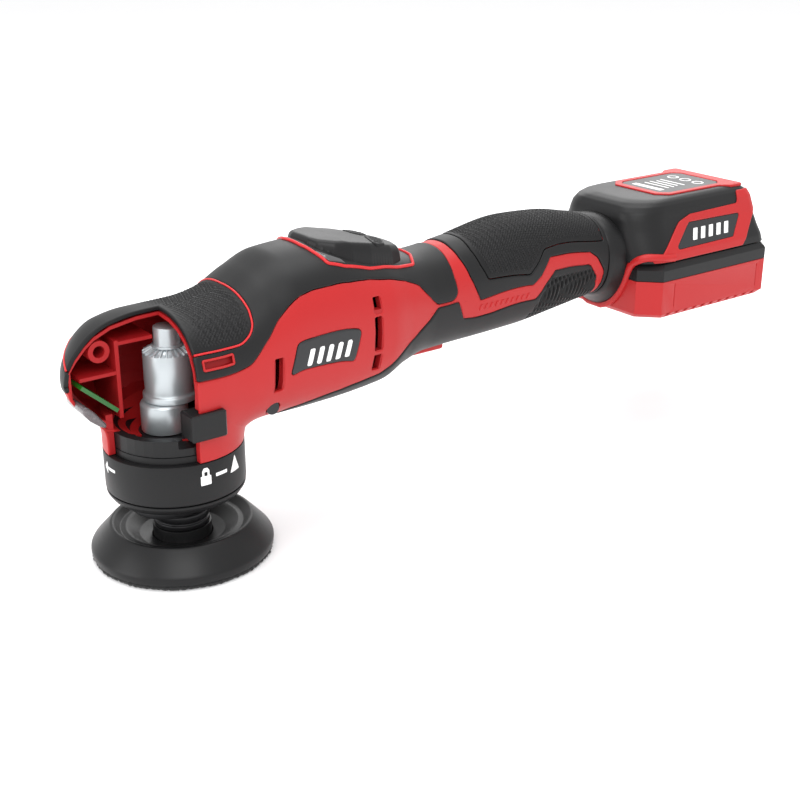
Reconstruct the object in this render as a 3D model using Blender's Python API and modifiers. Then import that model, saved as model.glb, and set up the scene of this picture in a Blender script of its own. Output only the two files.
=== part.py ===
"""Cordless dual action polisher with a cut-away head, as separate pieces.

World axes: +X runs from the spindle back to the battery, -Y is the cut side, +Z is up.
The origin is on the spindle axis, level with the pad's face. Lengths in the tables are
millimetres, and mm() turns them into metres.
"""

import math

import bmesh
import bpy
import numpy as np
from mathutils import Matrix, Vector

# Driving dimensions, in millimetres
GAP = 0.3  # clearance between pieces that touch
WALL = 3.0  # housing wall
GRIP = 1.3  # soft overmould on the housing
CUT_X = -3.0  # the head is cut away in front of this plane, on the -Y side
NECK_R = 28.0  # round neck under the head
PAD_R = 37.5  # widest radius of the backing pad
ORBIT = 1.5  # throw of the eccentric
ORBIT_X, ORBIT_Y = 0.96 * ORBIT, 0.28 * ORBIT  # where the pad's axis stands at rest
MOTOR_Z = 92.0  # height of the motor's axis
GEAR_R, PINION_R = 8.8, 4.4  # pitch radii at the heel of the bevel pair
GEAR_TEETH, PINION_TEETH = 24, 12
PACK_X0, PACK_X1, PACK_HALF = 234.4, 320.5, 35.3  # battery pack, front, rear and half width
PACK_BOTTOM, PACK_SPLIT, PACK_TOP = 62.0, 79.5, 87.6
CELL_R, CELL_LENGTH = 9.0, 64.0

# The body's sections along X: station, top, bottom, half width, squareness
BODY = (
    (-42.6, 82.5, 79.5, 2.2, 2.0),
    (-41.5, 87.2, 75.4, 7.0, 2.0),
    (-38.0, 92.6, 70.2, 14.0, 2.1),
    (-30.0, 99.9, 62.0, 23.6, 2.3),
    (-23.0, 102.9, 57.6, 27.8, 2.4),
    (-12.0, 104.7, 53.0, 30.0, 2.4),
    (8.0, 105.3, 50.9, 29.2, 2.4),
    (20.0, 107.4, 51.5, 28.5, 2.4),
    (34.0, 114.8, 53.0, 28.5, 2.4),
    (46.0, 119.8, 53.0, 28.9, 2.4),
    (62.0, 120.9, 53.3, 28.9, 2.4),
    (90.0, 113.6, 55.8, 27.8, 2.4),
    (103.0, 110.0, 60.5, 24.5, 2.35),
    (118.0, 107.7, 63.6, 21.2, 2.3),
    (140.0, 110.4, 63.8, 19.6, 2.25),
    (172.0, 115.4, 64.7, 19.6, 2.25),
    (194.0, 114.4, 67.2, 19.4, 2.25),
    (214.0, 110.8, 69.9, 19.1, 2.25),
    (232.0, 107.5, 72.0, 19.0, 2.3),
)
BODY_END = 222.0
BODY_RINGS = (-42.6, -41.5, -38, -34, -30, -23, -12, 0, 8, 20, 27, 34, 46, 62, 76, 90, 97, 103, 110,
              118, 128, 140, 156, 172, 194, 208, BODY_END)
SIDE_STEPS = 12  # faces from the body's top to its bottom on one side

# Side-view outlines of the soft-grip zones: (x, z), anticlockwise
HEAD_GRIP = ((-46, 77.2), (-36, 77.2), (-26, 81), (-14, 82.9), (13.6, 82.9), (20.4, 83.7), (26.2, 89.4),
             (34.9, 99.3), (46, 106.6), (60, 108.1), (81, 106.7), (101, 102), (108, 99), (118, 88.4),
             (130.3, 88.2), (129.2, 98), (129.6, 112), (129.6, 128), (-46, 128))
HANDLE_GRIP = ((143, 85.6), (174, 86.9), (184.4, 98.2), (210, 96.3), (219.5, 86), (219.5, 122),
               (133, 122), (133, 108.4), (137.7, 96.8))
BELLY_COVER = ((46, 46), (119, 46), (179, 46), (217.4, 46), (217.4, 76.4), (215, 84.2), (210, 90.7),
               (187.4, 91.7), (177.6, 79.3), (141, 77.7), (133.8, 78.9), (130.4, 87.2), (118, 87.2),
               (106.6, 79.5), (91, 68.4), (76, 63.7), (46, 59.6))


def mm(*values):
    """Millimetres to metres: one number, or a tuple of them."""
    metres = tuple(0.001 * value for value in values)
    return metres[0] if len(metres) == 1 else metres


# ---------------------------------------------------------------- scene and materials

def clear_scene():
    for obj in list(bpy.data.objects):
        bpy.data.objects.remove(obj, do_unlink=True)


def new_collection(name):
    collection = bpy.data.collections.new(name)
    bpy.context.scene.collection.children.link(collection)
    return collection


def plastic(name, color, roughness=0.5, metallic=0.0):
    material = bpy.data.materials.new(name)
    material.use_nodes = True
    shader = material.node_tree.nodes["Principled BSDF"]
    shader.inputs["Base Color"].default_value = (*color, 1.0)
    shader.inputs["Roughness"].default_value = roughness
    shader.inputs["Metallic"].default_value = metallic
    return material


clear_scene()
PARTS = new_collection("dual_action_polisher")
CUTTERS = new_collection("cutters")
RED = (0.55, 0.02, 0.025)
BLACK = (0.02, 0.02, 0.022)
GREY = (0.10, 0.10, 0.11)
SILVER = (0.55, 0.58, 0.60)
COPPER = (0.55, 0.22, 0.08)
GREEN = (0.0, 0.16, 0.03)


def keep(obj, color, roughness=0.5, metallic=0.0):
    """Files the object as a part, with a material of its own."""
    for collection in list(obj.users_collection):
        collection.objects.unlink(obj)
    PARTS.objects.link(obj)
    obj.data.materials.clear()
    obj.data.materials.append(plastic(obj.name + "_finish", color, roughness, metallic))
    obj.data.shade_smooth()
    obj.data.set_sharp_from_angle(angle=math.radians(35))
    return obj


def as_cutter(obj):
    for collection in list(obj.users_collection):
        collection.objects.unlink(obj)
    CUTTERS.objects.link(obj)
    obj.hide_render = True
    obj.display_type = "WIRE"
    return obj


def boolean(obj, other, operation="DIFFERENCE", solver="EXACT"):
    """Adds a Boolean with a helper solid, which goes to the cutters."""
    modifier = obj.modifiers.new(operation.title(), "BOOLEAN")
    modifier.operation = operation
    modifier.object = as_cutter(other)
    modifier.solver = solver
    return obj


def settle(obj):
    """Applies the object's modifiers and welds what they leave, before more cuts follow."""
    bpy.context.view_layer.update()
    evaluated = obj.evaluated_get(bpy.context.evaluated_depsgraph_get())
    mesh = bpy.data.meshes.new_from_object(evaluated)
    builder = bmesh.new()
    builder.from_mesh(mesh)
    bmesh.ops.remove_doubles(builder, verts=builder.verts, dist=0.000005)
    bmesh.ops.dissolve_degenerate(builder, dist=0.000005, edges=builder.edges)
    builder.to_mesh(mesh)
    builder.free()
    obj.modifiers.clear()
    obj.data = mesh
    return obj


# ---------------------------------------------------------------- basic shapes

def object_from(name, mesh_builder):
    mesh = bpy.data.meshes.new(name)
    mesh_builder.to_mesh(mesh)
    mesh_builder.free()
    obj = bpy.data.objects.new(name, mesh)
    bpy.context.scene.collection.objects.link(obj)
    return obj


def block(name, low, high, bevel=0.0, segments=1):
    """A box between any two opposite corners, with rounded edges if bevel is given."""
    builder = bmesh.new()
    bmesh.ops.create_cube(builder, size=1.0)
    corners = Vector(mm(*low)), Vector(mm(*high))
    size = [abs(second - first) for first, second in zip(*corners)]
    centre = (corners[0] + corners[1]) / 2
    bmesh.ops.scale(builder, vec=size, verts=builder.verts)
    obj = object_from(name, builder)
    obj.location = centre
    if bevel:
        rounding = obj.modifiers.new("Round", "BEVEL")
        rounding.width = mm(bevel)
        rounding.segments = segments
        rounding.limit_method = "ANGLE"
    return obj


AXIS_TURNS = {"Z": Matrix(), "X": Matrix.Rotation(math.radians(90), 4, "Y"),
              "Y": Matrix.Rotation(math.radians(-90), 4, "X")}


def rod(name, radius, start, length, axis="Z", sides=24):
    """A cylinder that starts at a point and runs along +Z, +X or +Y."""
    builder = bmesh.new()
    bmesh.ops.create_cone(builder, cap_ends=True, segments=sides, radius1=mm(radius),
                          radius2=mm(radius), depth=mm(length))
    bmesh.ops.translate(builder, vec=(0, 0, mm(length) / 2), verts=builder.verts)
    obj = object_from(name, builder)
    obj.matrix_world = Matrix.Translation(mm(*start)) @ AXIS_TURNS[axis]
    return obj


def turned(name, profile, at=(0, 0, 0), axis="Z", steps=24):
    """A profile of (radius, height) turned about an axis. It runs down the outer side, and closes
    on itself for a ring or ends on the axis for a solid."""
    builder = bmesh.new()
    points = [builder.verts.new((mm(radius), 0, mm(height))) for radius, height in profile]
    for first, second in zip(points, points[1:]):
        builder.edges.new((first, second))
    if profile[0][0] > 0:
        builder.edges.new((points[-1], points[0]))
    obj = object_from(name, builder)
    screw = obj.modifiers.new("Turn", "SCREW")
    screw.steps = steps
    screw.render_steps = steps
    screw.use_merge_vertices = True
    screw.merge_threshold = 0.00001
    obj.matrix_world = Matrix.Translation(mm(*at)) @ AXIS_TURNS[axis]
    return obj


def ring(name, inner, outer, low, high, at=(0, 0, 0), axis="Z", steps=24):
    return turned(name, ((outer, high), (outer, low), (inner, low), (inner, high)), at, axis, steps)


def slab(name, outline, low, high):
    """A side-view outline of (x, z) made solid between two Y planes."""
    curve = bpy.data.curves.new(name, "CURVE")
    curve.dimensions = "2D"
    curve.fill_mode = "BOTH"
    curve.extrude = mm(high - low) / 2
    spline = curve.splines.new("POLY")
    spline.points.add(len(outline) - 1)
    for point, (x, z) in zip(spline.points, outline):
        point.co = (mm(x), mm(z), 0, 1)
    spline.use_cyclic_u = True
    guide = bpy.data.objects.new(name, curve)
    bpy.context.scene.collection.objects.link(guide)
    # The outline's own plane is XY, so it is stood up, with its thickness along Y.
    guide.matrix_world = Matrix.Translation((0, mm(low + high) / 2, 0)) @ Matrix.Rotation(
        math.radians(90), 4, "X")
    return solid_from_curve(guide)


def solid_from_curve(guide):
    """Replaces a filled curve with a welded mesh, so that a Boolean can use it."""
    name = guide.name
    bpy.context.view_layer.update()
    evaluated = guide.evaluated_get(bpy.context.evaluated_depsgraph_get())
    mesh = bpy.data.meshes.new_from_object(evaluated)
    mesh.transform(guide.matrix_world)
    bpy.data.objects.remove(guide, do_unlink=True)
    builder = bmesh.new()
    builder.from_mesh(mesh)
    bmesh.ops.remove_doubles(builder, verts=builder.verts, dist=0.00001)
    bmesh.ops.recalc_face_normals(builder, faces=builder.faces)
    bpy.data.meshes.remove(mesh)
    return object_from(name, builder)


def loft(name, rings):
    """A closed solid through rings of (x, y, z) in millimetres, with flat ends."""
    builder = bmesh.new()
    rows = [[builder.verts.new(mm(*point)) for point in ring_points] for ring_points in rings]
    count = len(rows[0])
    for first, second in zip(rows, rows[1:]):
        for i in range(count):
            builder.faces.new((first[i], first[(i + 1) % count], second[(i + 1) % count], second[i]))
    builder.faces.new(rows[0])
    builder.faces.new(rows[-1])
    bmesh.ops.remove_doubles(builder, verts=builder.verts, dist=0.00001)
    bmesh.ops.recalc_face_normals(builder, faces=builder.faces)
    return object_from(name, builder)


def rounded_rectangle(x0, x1, half, height, radius, corner_steps=4):
    """A ring in a level plane, with round corners, as points (x, y, height)."""
    points = []
    corners = ((x1, half, 0), (x0, half, 90), (x0, -half, 180), (x1, -half, 270))
    for x, y, start in corners:
        centre_x = x - math.copysign(radius, x - (x0 + x1) / 2)
        centre_y = y - math.copysign(radius, y)
        for step in range(corner_steps + 1):
            angle = math.radians(start + 90 * step / corner_steps)
            points.append((centre_x + radius * math.cos(angle),
                           centre_y + radius * math.sin(angle), height))
    return points


# ---------------------------------------------------------------- the body's surface

def smooth_slopes(stations, values):
    """Slopes that keep a curve through the values from overshooting."""
    steps = np.diff(values) / np.diff(stations)
    slopes = np.zeros(len(values))
    same = steps[:-1] * steps[1:] > 0
    slopes[1:-1][same] = 2 * steps[:-1][same] * steps[1:][same] / (steps[:-1] + steps[1:])[same]
    slopes[0], slopes[-1] = steps[0], steps[-1]
    return slopes


def body_section(x):
    """Top, bottom, half width and squareness of the body at x."""
    table = np.array(BODY)
    stations = table[:, 0]
    i = int(np.clip(np.searchsorted(stations, x) - 1, 0, len(stations) - 2))
    width = stations[i + 1] - stations[i]
    t = max((x - stations[i]) / width, 0.0)
    found = []
    for column in range(1, 5):
        values = table[:, column]
        slopes = smooth_slopes(stations, values)
        found.append((2 * t**3 - 3 * t**2 + 1) * values[i] + (t**3 - 2 * t**2 + t) * width * slopes[i]
                     + (3 * t**2 - 2 * t**3) * values[i + 1] + (t**3 - t**2) * width * slopes[i + 1])
    return found


def side_points(x, side, depth, parting=GAP / 2):
    """Points down one side of the body's section, at a depth under its surface."""
    top, bottom, half, squareness = body_section(x)
    middle, height = (top + bottom) / 2, max((top - bottom) / 2 - depth, 0.4)
    half = max(half - depth, 0.4)
    points = []
    for step in range(SIDE_STEPS + 1):
        angle = math.pi * step / SIDE_STEPS
        across, up = math.sin(angle), math.cos(angle)
        y = half * abs(across) ** (2 / squareness)
        z = height * math.copysign(abs(up) ** (2 / squareness), up)
        y = max(y, parting) if 0 < step < SIDE_STEPS else parting
        points.append((x, side * y, middle + z))
    return points


def half_shell(name, side, outer_depth, inner_depth, parting=GAP / 2, end=BODY_END):
    """One side of the body as a wall between two depths, open at the parting plane and the rear."""
    rings = BODY_RINGS if end == BODY_END else (*BODY_RINGS[:-1], end)
    builder = bmesh.new()

    def grid(depth, nose_shift):
        rows = []
        nose = rings[0] + nose_shift
        for x in (nose, *rings[1:]):
            shifted = max(x, nose)
            points = side_points(shifted, side, depth, parting)
            if x == nose:
                middle = (points[0][2] + points[-1][2]) / 2
                points = [(nose, side * parting, middle)] * len(points)
            rows.append([builder.verts.new(mm(*point)) for point in points])
        return rows

    outer = grid(outer_depth, outer_depth * 0.7)
    inner = grid(inner_depth, inner_depth * 0.7)
    last = len(rings) - 1
    for rows in (outer, inner):
        for first, second in zip(rows, rows[1:]):
            for i in range(SIDE_STEPS):
                builder.faces.new((first[i], first[i + 1], second[i + 1], second[i]))
    for i in range(last):
        for edge in (0, SIDE_STEPS):
            builder.faces.new((outer[i][edge], outer[i + 1][edge], inner[i + 1][edge], inner[i][edge]))
    for i in range(SIDE_STEPS):
        builder.faces.new((outer[last][i], outer[last][i + 1], inner[last][i + 1], inner[last][i]))
    bmesh.ops.remove_doubles(builder, verts=builder.verts, dist=0.00002)
    bmesh.ops.dissolve_degenerate(builder, dist=0.00002, edges=builder.edges)
    bmesh.ops.recalc_face_normals(builder, faces=builder.faces)
    return object_from(name, builder)


def half_core(name, side, depth):
    """One side of the body as a solid, at a depth under its surface."""
    return loft(name, [side_points(x, side, depth) for x in BODY_RINGS[1:]])


def inset(outline, distance):
    """An anticlockwise outline moved inwards by a distance, corner by corner."""
    points = [Vector(point) for point in outline]
    moved = []
    for i, point in enumerate(points):
        before = (point - points[i - 1]).normalized()
        after = (points[(i + 1) % len(points)] - point).normalized()
        normal = Vector((-before.y - after.y, before.x + after.x))
        normal /= max(normal.length_squared / 2, 0.6)
        moved.append(tuple(point + normal * distance))
    return moved


SIDES = (("left", -1), ("right", 1))


# ---------------------------------------------------------------- housing and its soft grips

def grip_piece(name, side, outline, color):
    """A soft skin that fills its zone of the body's surface, flush with it."""
    skin = half_shell(name, side, 0.0, GRIP)
    zone = slab(name + "_zone", inset(outline, GAP), -40, 40)
    boolean(skin, zone, "INTERSECT")
    return keep(skin, color, 0.75)


def grip_pocket(name, side, outline):
    """The room in the housing for one grip."""
    pocket = half_shell(name, side, -1.5, GRIP + GAP, parting=-1.3, end=BODY_END + 4)
    zone = slab(name + "_zone", outline, -40, 40)
    boolean(pocket, zone, "INTERSECT")
    return pocket


def head_cut(name, low_z=40, high_z=130):
    return block(name, (-60, -45, low_z), (CUT_X, 0.0, high_z))


def housing_base():
    """The +Y half of the body wall: its half of the neck, grip pockets and openings."""
    shell = half_shell("housing_right", 1, 0.0, WALL)
    neck = rod("neck", NECK_R, (0, 0, 49.2), 16.8, sides=40)
    boolean(neck, block("neck_other_side", (-40, -40, 40), (40, GAP, 80)))
    boolean(shell, neck, "UNION")
    boolean(shell, rod("neck_bore", NECK_R - 2.8, (0, 0, 40), 27, sides=40))
    settle(shell)
    for zone_name, outline in (("head", HEAD_GRIP), ("handle", HANDLE_GRIP), ("belly", BELLY_COVER)):
        boolean(shell, grip_pocket(zone_name + "_pocket", 1, outline))
        settle(shell)
    boolean(shell, pod_opening("housing_pod_opening", GAP))
    boolean(shell, block("housing_trigger_opening", (111.4, -5.4, 55), (134.6, 5.4, 70)))
    for x, low, high in VENTS:
        boolean(shell, block(f"vent_{x:.0f}_{low:.0f}", (x - 1.8, 18, low), (x + 1.8, 34, high)))
    boolean(shell, block("badge_pocket", (38, 27.2, 74), (73, 34, 90)))
    return settle(shell)


def mirrored_copy(obj, name):
    """The same piece for the -Y side, with its faces turned back to point outwards."""
    builder = bmesh.new()
    builder.from_mesh(obj.data)
    bmesh.ops.scale(builder, vec=(1, -1, 1), verts=builder.verts)
    bmesh.ops.reverse_faces(builder, faces=builder.faces)
    return object_from(name, builder)


def add_housing():
    """Both halves. The -Y half is cut away at the head, and the +Y half keeps its inner ribs."""
    right = housing_base()
    left = mirrored_copy(right, "housing_left")
    # The vents leave thin faces that the exact solver loses, so this half uses the other one.
    boolean(left, head_cut("housing_cut"), solver="MANIFOLD")
    boolean(left, block("lock_slot", (-8, -36, 58.6), (8.4, -15, 71.4)), solver="MANIFOLD")
    for label, x, z, depth in SCREWS:
        well = rod(f"screw_well_{label}", 3.3, (x, -36, z), 36.4 - depth, "Y", 16)
        boolean(left, well, solver="MANIFOLD")
        boolean(left, rod(f"screw_hole_{label}", 1.8, (x, -30, z), 29, "Y", 12), solver="MANIFOLD")
    ribs = [block(rib_name, low, high) for rib_name, low, high in RIBS]
    ribs.append(ring("screw_boss", 2.4, 4.4, 0.4, 26.5, (-28.3, 0, 92), "Y", 20))
    for rib in ribs:
        boolean(rib, half_core(rib.name + "_limit", 1, WALL - 0.6), "INTERSECT")
        boolean(right, settle(rib), "UNION")
    settle(right)
    boolean(right, slab("lens_opening", inset(LENS_OUTLINE, -0.4), -1, 9.3))
    boolean(right, block("board_slot", (-40, -1, 66), (-22, 9.9, 80)))
    keep(left, RED, 0.45)
    keep(right, RED, 0.45)


# Screws from the near side: name, x, z, how far the head's seat is from the parting plane
SCREWS = (("front", 33.5, 61.6, 20.0), ("rear", 100.0, 83.0, 19.5))
LENS_OUTLINE = ((-41.2, 72.6), (-38.3, 68.4), (-34.4, 64.9), (-31.2, 63.2), (-30.2, 65.4), (-36.2, 73.2),
                (-39.4, 76.2), (-41.2, 75.0))
VENTS = ((33.4, 70, 84.5), (81.5, 95, 100.2), (81.5, 77.5, 93), (81.5, 68, 75.5))
# Ribs inside the far half, which the cut-away shows: name, low corner, high corner
RIBS = (
    ("wall_rib", (-22, 0.3, 63.5), (-20.4, 27.4, 95)),
    ("shelf_rib", (-37, 0.5, 81.4), (-21, 20, 82.8)),
    ("roof_rib", (-21.2, 0.4, 93.0), (-6, 24, 94.4)),
)


def add_grips(side_name, side):
    head = grip_piece("head_grip_" + side_name, side, HEAD_GRIP, BLACK)
    boolean(head, pod_opening(head.name + "_pod_opening", 2 * GAP))
    if side < 0:
        boolean(head, head_cut(head.name + "_cut"))
    handle = grip_piece("handle_grip_" + side_name, side, HANDLE_GRIP, BLACK)
    belly = grip_piece("belly_cover_" + side_name, side, BELLY_COVER, GREY)
    boolean(belly, block(belly.name + "_trigger_opening", (111.1, -5.7, 55), (134.9, 5.7, 70)))
    return head, handle, belly


def add_side_badge(side_name, side):
    badge = block("side_badge_" + side_name, (38.4, side * 27.5, 74.4), (72.6, side * 29.0, 89.6), 0.5)
    return keep(badge, GREY, 0.4)


# ---------------------------------------------------------------- control pod on the hump

POD_STATIONS = ((57.2, 5.0, 121.6), (62, 12.5, 123.2), (74, 15.6, 122.0), (90, 15.6, 118.4),
                (102, 12.4, 114.6), (110.2, 5.0, 111.4))  # x, half width, top
POD_DEPTH = 11.0
KEYS = (("speed_key_front", 78.0, 121.2), ("speed_key_rear", 92.0, 117.9))  # name, x, height of its pocket
KEY_LENGTH, KEY_HALF = 10.0, 6.0


def pod_ring(x, half, top, depth=POD_DEPTH):
    edge = 1.6
    floor = top - depth
    return ((x, half, floor), (x, half, top - edge), (x, half - edge, top), (x, -half + edge, top),
            (x, -half, top - edge), (x, -half, floor))


def pod_opening(name, clearance):
    """The pod's outline with clearance all round, run up through the roof."""
    stations = [list(station) for station in POD_STATIONS]
    stations[0][0] -= clearance
    stations[-1][0] += clearance
    return loft(name, [pod_ring(x, half + clearance, top + 12, POD_DEPTH + 12.5)
                       for x, half, top in stations])


def add_control_pod():
    pod = loft("control_pod", [pod_ring(*station) for station in POD_STATIONS])
    hollow = [pod_ring(x, half - 2.2, top - 4.2) for x, half, top in POD_STATIONS[1:-1]]
    boolean(pod, loft("control_pod_hollow", hollow))
    for name, x, height in KEYS:
        boolean(pod, block(name + "_pocket", (x - 5.3, -KEY_HALF - 0.3, height - 8),
                           (x + 5.3, KEY_HALF + 0.3, height + 4)))
        key = block(name, (x - 5.0, -KEY_HALF, height - 4.4), (x + 5.0, KEY_HALF, height + 1.1), 0.7)
        keep(key, GREY, 0.6)
    boolean(pod, block("pod_lens_pocket", (61.2, -11.3, 118.6), (68.3, 11.3, 126)))
    keep(pod, BLACK, 0.6)
    lens = block("pod_lens", (61.5, -11.0, 118.9), (68.0, 11.0, 122.6), 0.8)
    keep(lens, GREY, 0.15)


# ---------------------------------------------------------------- battery dock and pack

def add_dock():
    """The foot that the pack slides into, open underneath, with a guard in front of the pack."""
    outer = [rounded_rectangle(226, 319.5, 34.0, 88.2, 9), rounded_rectangle(225, 318.5, 33.5, 92, 9),
             rounded_rectangle(224, 316.5, 31.0, 97, 9), rounded_rectangle(224, 315, 28.5, 103, 9),
             rounded_rectangle(227, 314, 27.0, 110, 9), rounded_rectangle(234, 312, 24.5, 114, 9),
             rounded_rectangle(238, 309.5, 22.0, 115.5, 8)]
    dock = loft("battery_dock", outer)
    guard_rings = [side_points(x, 1, 0.6)[:-1] + side_points(x, -1, 0.6)[:0:-1]
                   for x in (BODY_END + GAP, 228, 233.6)]
    boolean(dock, loft("battery_dock_guard", guard_rings), "UNION")
    inner = [rounded_rectangle(230, 325, 31.3, 80.0, 7), rounded_rectangle(230, 325, 31.3, 91, 7),
             rounded_rectangle(230, 312.5, 25.5, 102, 7), rounded_rectangle(236, 310, 23.0, 110.5, 7),
             rounded_rectangle(240, 307.5, 19.5, 112.6, 6)]
    boolean(dock, block("battery_dock_pack_room", (PACK_X0 - GAP, -40, 55), (330, 40, PACK_TOP + GAP)))
    boolean(dock, loft("battery_dock_hollow", inner))
    boolean(dock, rod("battery_dock_wire_way", 12, (215, 0, 89), 20, "X"))
    for side in (-1, 1):
        boolean(dock, block(f"battery_dock_badge_pocket_{side}", (262, side * 26.6, 95.6),
                            (302, side * 40, 104.6)))
    boolean(dock, block("battery_dock_label_pocket", (262.4, -15.9, 114.6), (304.0, 15.9, 118)))
    keep(dock, BLACK, 0.6)
    label = block("dock_label", (262.7, -15.6, 114.9), (303.7, 15.6, 116.0), 0.4)
    keep(label, GREY, 0.4)
    for side_name, side in SIDES:
        plate = block("dock_badge_" + side_name, (262.3, side * 26.9, 95.9), (301.7, side * 29.4, 104.3), 0.4)
        keep(plate, GREY, 0.4)
    terminals = block("dock_terminals", (231.0, -14, 92.2), (246, 14, 101.5), 0.6)
    for y in (-9, -3, 3, 9):
        boolean(terminals, block(f"terminal_blade_{y}", (245, y - 0.4, 93.5), (254, y + 0.4, 98.5)), "UNION")
    keep(terminals, BLACK, 0.4)


def pack_ring(half, z, front=PACK_X0, rear=PACK_X1, chamfer=9.0):
    corner = 3.0
    return ((front + chamfer, half, z), (front, half - chamfer, z), (front, -half + chamfer, z),
            (front + chamfer, -half, z), (rear - corner, -half, z), (rear, -half + corner, z),
            (rear, half - corner, z), (rear - corner, half, z))


def add_pack():
    case = loft("pack_case", [pack_ring(PACK_HALF - 2.0, PACK_BOTTOM, PACK_X0 + 2, PACK_X1 - 2),
                              pack_ring(PACK_HALF, PACK_BOTTOM + 2.5),
                              pack_ring(PACK_HALF, PACK_SPLIT - GAP / 2)])
    boolean(case, loft("pack_case_hollow", [
        pack_ring(PACK_HALF - 2, PACK_BOTTOM + 2.2, PACK_X0 + 2, PACK_X1 - 2),
        pack_ring(PACK_HALF - 2, PACK_SPLIT + 5, PACK_X0 + 2, PACK_X1 - 2)]))
    keep(case, RED, 0.45)
    lid = loft("pack_lid", [pack_ring(PACK_HALF, PACK_SPLIT + GAP / 2),
                            pack_ring(PACK_HALF, PACK_TOP - 3),
                            pack_ring(PACK_HALF - 2.5, PACK_TOP, PACK_X0 + 1.5, PACK_X1 - 1)])
    boolean(lid, loft("pack_lid_hollow", [
        pack_ring(PACK_HALF - 2, PACK_SPLIT - 5, PACK_X0 + 2, PACK_X1 - 2),
        pack_ring(PACK_HALF - 2, PACK_SPLIT + 5.6, PACK_X0 + 2, PACK_X1 - 2)]))
    for y in (-9, -3, 3, 9):
        boolean(lid, block(f"pack_slot_{y}", (230, y - 1.0, 80), (256, y + 1.0, 95)))
    tower = block("pack_tower", (257, -22, PACK_TOP - 1), (308, 22, 96.5), 1.5)
    boolean(lid, tower, "UNION")
    for side in (-1, 1):
        rail = block(f"pack_rail_{side}", (259, side * 20, 91.8), (305, side * 24.4, 95))
        boolean(lid, rail, "UNION")
    boolean(lid, block("pack_latch_pocket", (308.6, -10.3, 83), (330, 10.3, 95)))
    keep(lid, BLACK, 0.5)
    latch = block("pack_latch", (309.0, -10.0, PACK_SPLIT + 6.2), (PACK_X1 - 0.8, 10.0, PACK_TOP + 0.2), 0.8)
    keep(latch, BLACK, 0.6)
    for number in range(4):
        x = PACK_X0 + 9.6 + CELL_R + number * (2 * CELL_R + 0.3)
        start = (x, -CELL_LENGTH / 2, PACK_BOTTOM + 2.6 + CELL_R)
        keep(rod(f"cell_{number + 1}", CELL_R, start, CELL_LENGTH, "Y", 24), (0.05, 0.25, 0.35), 0.4)
    board = block("pack_board", (244, -28, 83.3), (305, 28, 84.7))
    keep(board, GREEN, 0.5)


# ---------------------------------------------------------------- motor line

def gear_points(teeth, radius, root, tip, axial, phase=0.0):
    """A ring of tooth corners in a plane square to the gear's axis: (angle, radius) points."""
    pitch = 2 * math.pi / teeth
    points = []
    for tooth in range(teeth):
        middle = tooth * pitch + phase
        for offset, reach in ((-0.22, root), (-0.07, tip), (0.07, tip), (0.22, root)):
            angle = middle + offset * pitch
            points.append((reach * math.cos(angle), reach * math.sin(angle), axial))
    return points


def bevel_gear_rings(teeth, pitch_radius, mate_radius, phase):
    """Heel and toe rings of a straight bevel gear whose apex is at height 0, opening downwards."""
    cone = math.hypot(pitch_radius, mate_radius)
    pitch_angle = math.atan2(pitch_radius, mate_radius)
    tip = mate_radius * math.tan(pitch_angle + 0.40 / cone)
    root = mate_radius * math.tan(pitch_angle - 0.62 / cone)
    heel = gear_points(teeth, pitch_radius, root, tip, -mate_radius, phase)
    toe = [(0.66 * x, 0.66 * y, 0.66 * z) for x, y, z in heel]
    return heel, toe


def add_bevel_pair():
    heel, toe = bevel_gear_rings(GEAR_TEETH, GEAR_R, PINION_R, 0.0)
    heel = [(x, y, z + MOTOR_Z) for x, y, z in heel]
    toe = [(x, y, z + MOTOR_Z) for x, y, z in toe]
    base_z = MOTOR_Z - PINION_R
    body = [(9.9 * math.cos(math.atan2(y, x)), 9.9 * math.sin(math.atan2(y, x)), z)
            for z in (82.2, base_z - 0.6) for x, y, _ in heel]
    count = len(heel)
    gear = loft("bevel_gear", [body[:count], body[count:], heel, toe])
    boolean(gear, rod("bevel_gear_bore", 3.5 + GAP, (0, 0, 80), 20))
    keep(gear, SILVER, 0.3, 1.0)
    heel, toe = bevel_gear_rings(PINION_TEETH, PINION_R, GEAR_R, math.pi / PINION_TEETH)
    hub = [(3.6 * math.cos(math.atan2(y, x)), 3.6 * math.sin(math.atan2(y, x)), z)
           for z in (-14.0, -9.4) for x, y, _ in heel]
    rings = [hub[:count], hub[count:]] if count == len(hub) // 2 else [hub[:len(heel)], hub[len(heel):]]
    pinion = loft("bevel_pinion", [*rings, heel, toe])
    # Its own axis points from the motor to the apex, so -Z is turned to +X.
    pinion.matrix_world = Matrix.Translation(mm(0, 0, MOTOR_Z)) @ Matrix.Rotation(
        math.radians(-90), 4, "Y")
    boolean(pinion, rod("bevel_pinion_bore", 1.3 + GAP, (0, 0, MOTOR_Z), 20, "X", 16))
    keep(pinion, SILVER, 0.35, 1.0)


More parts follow.
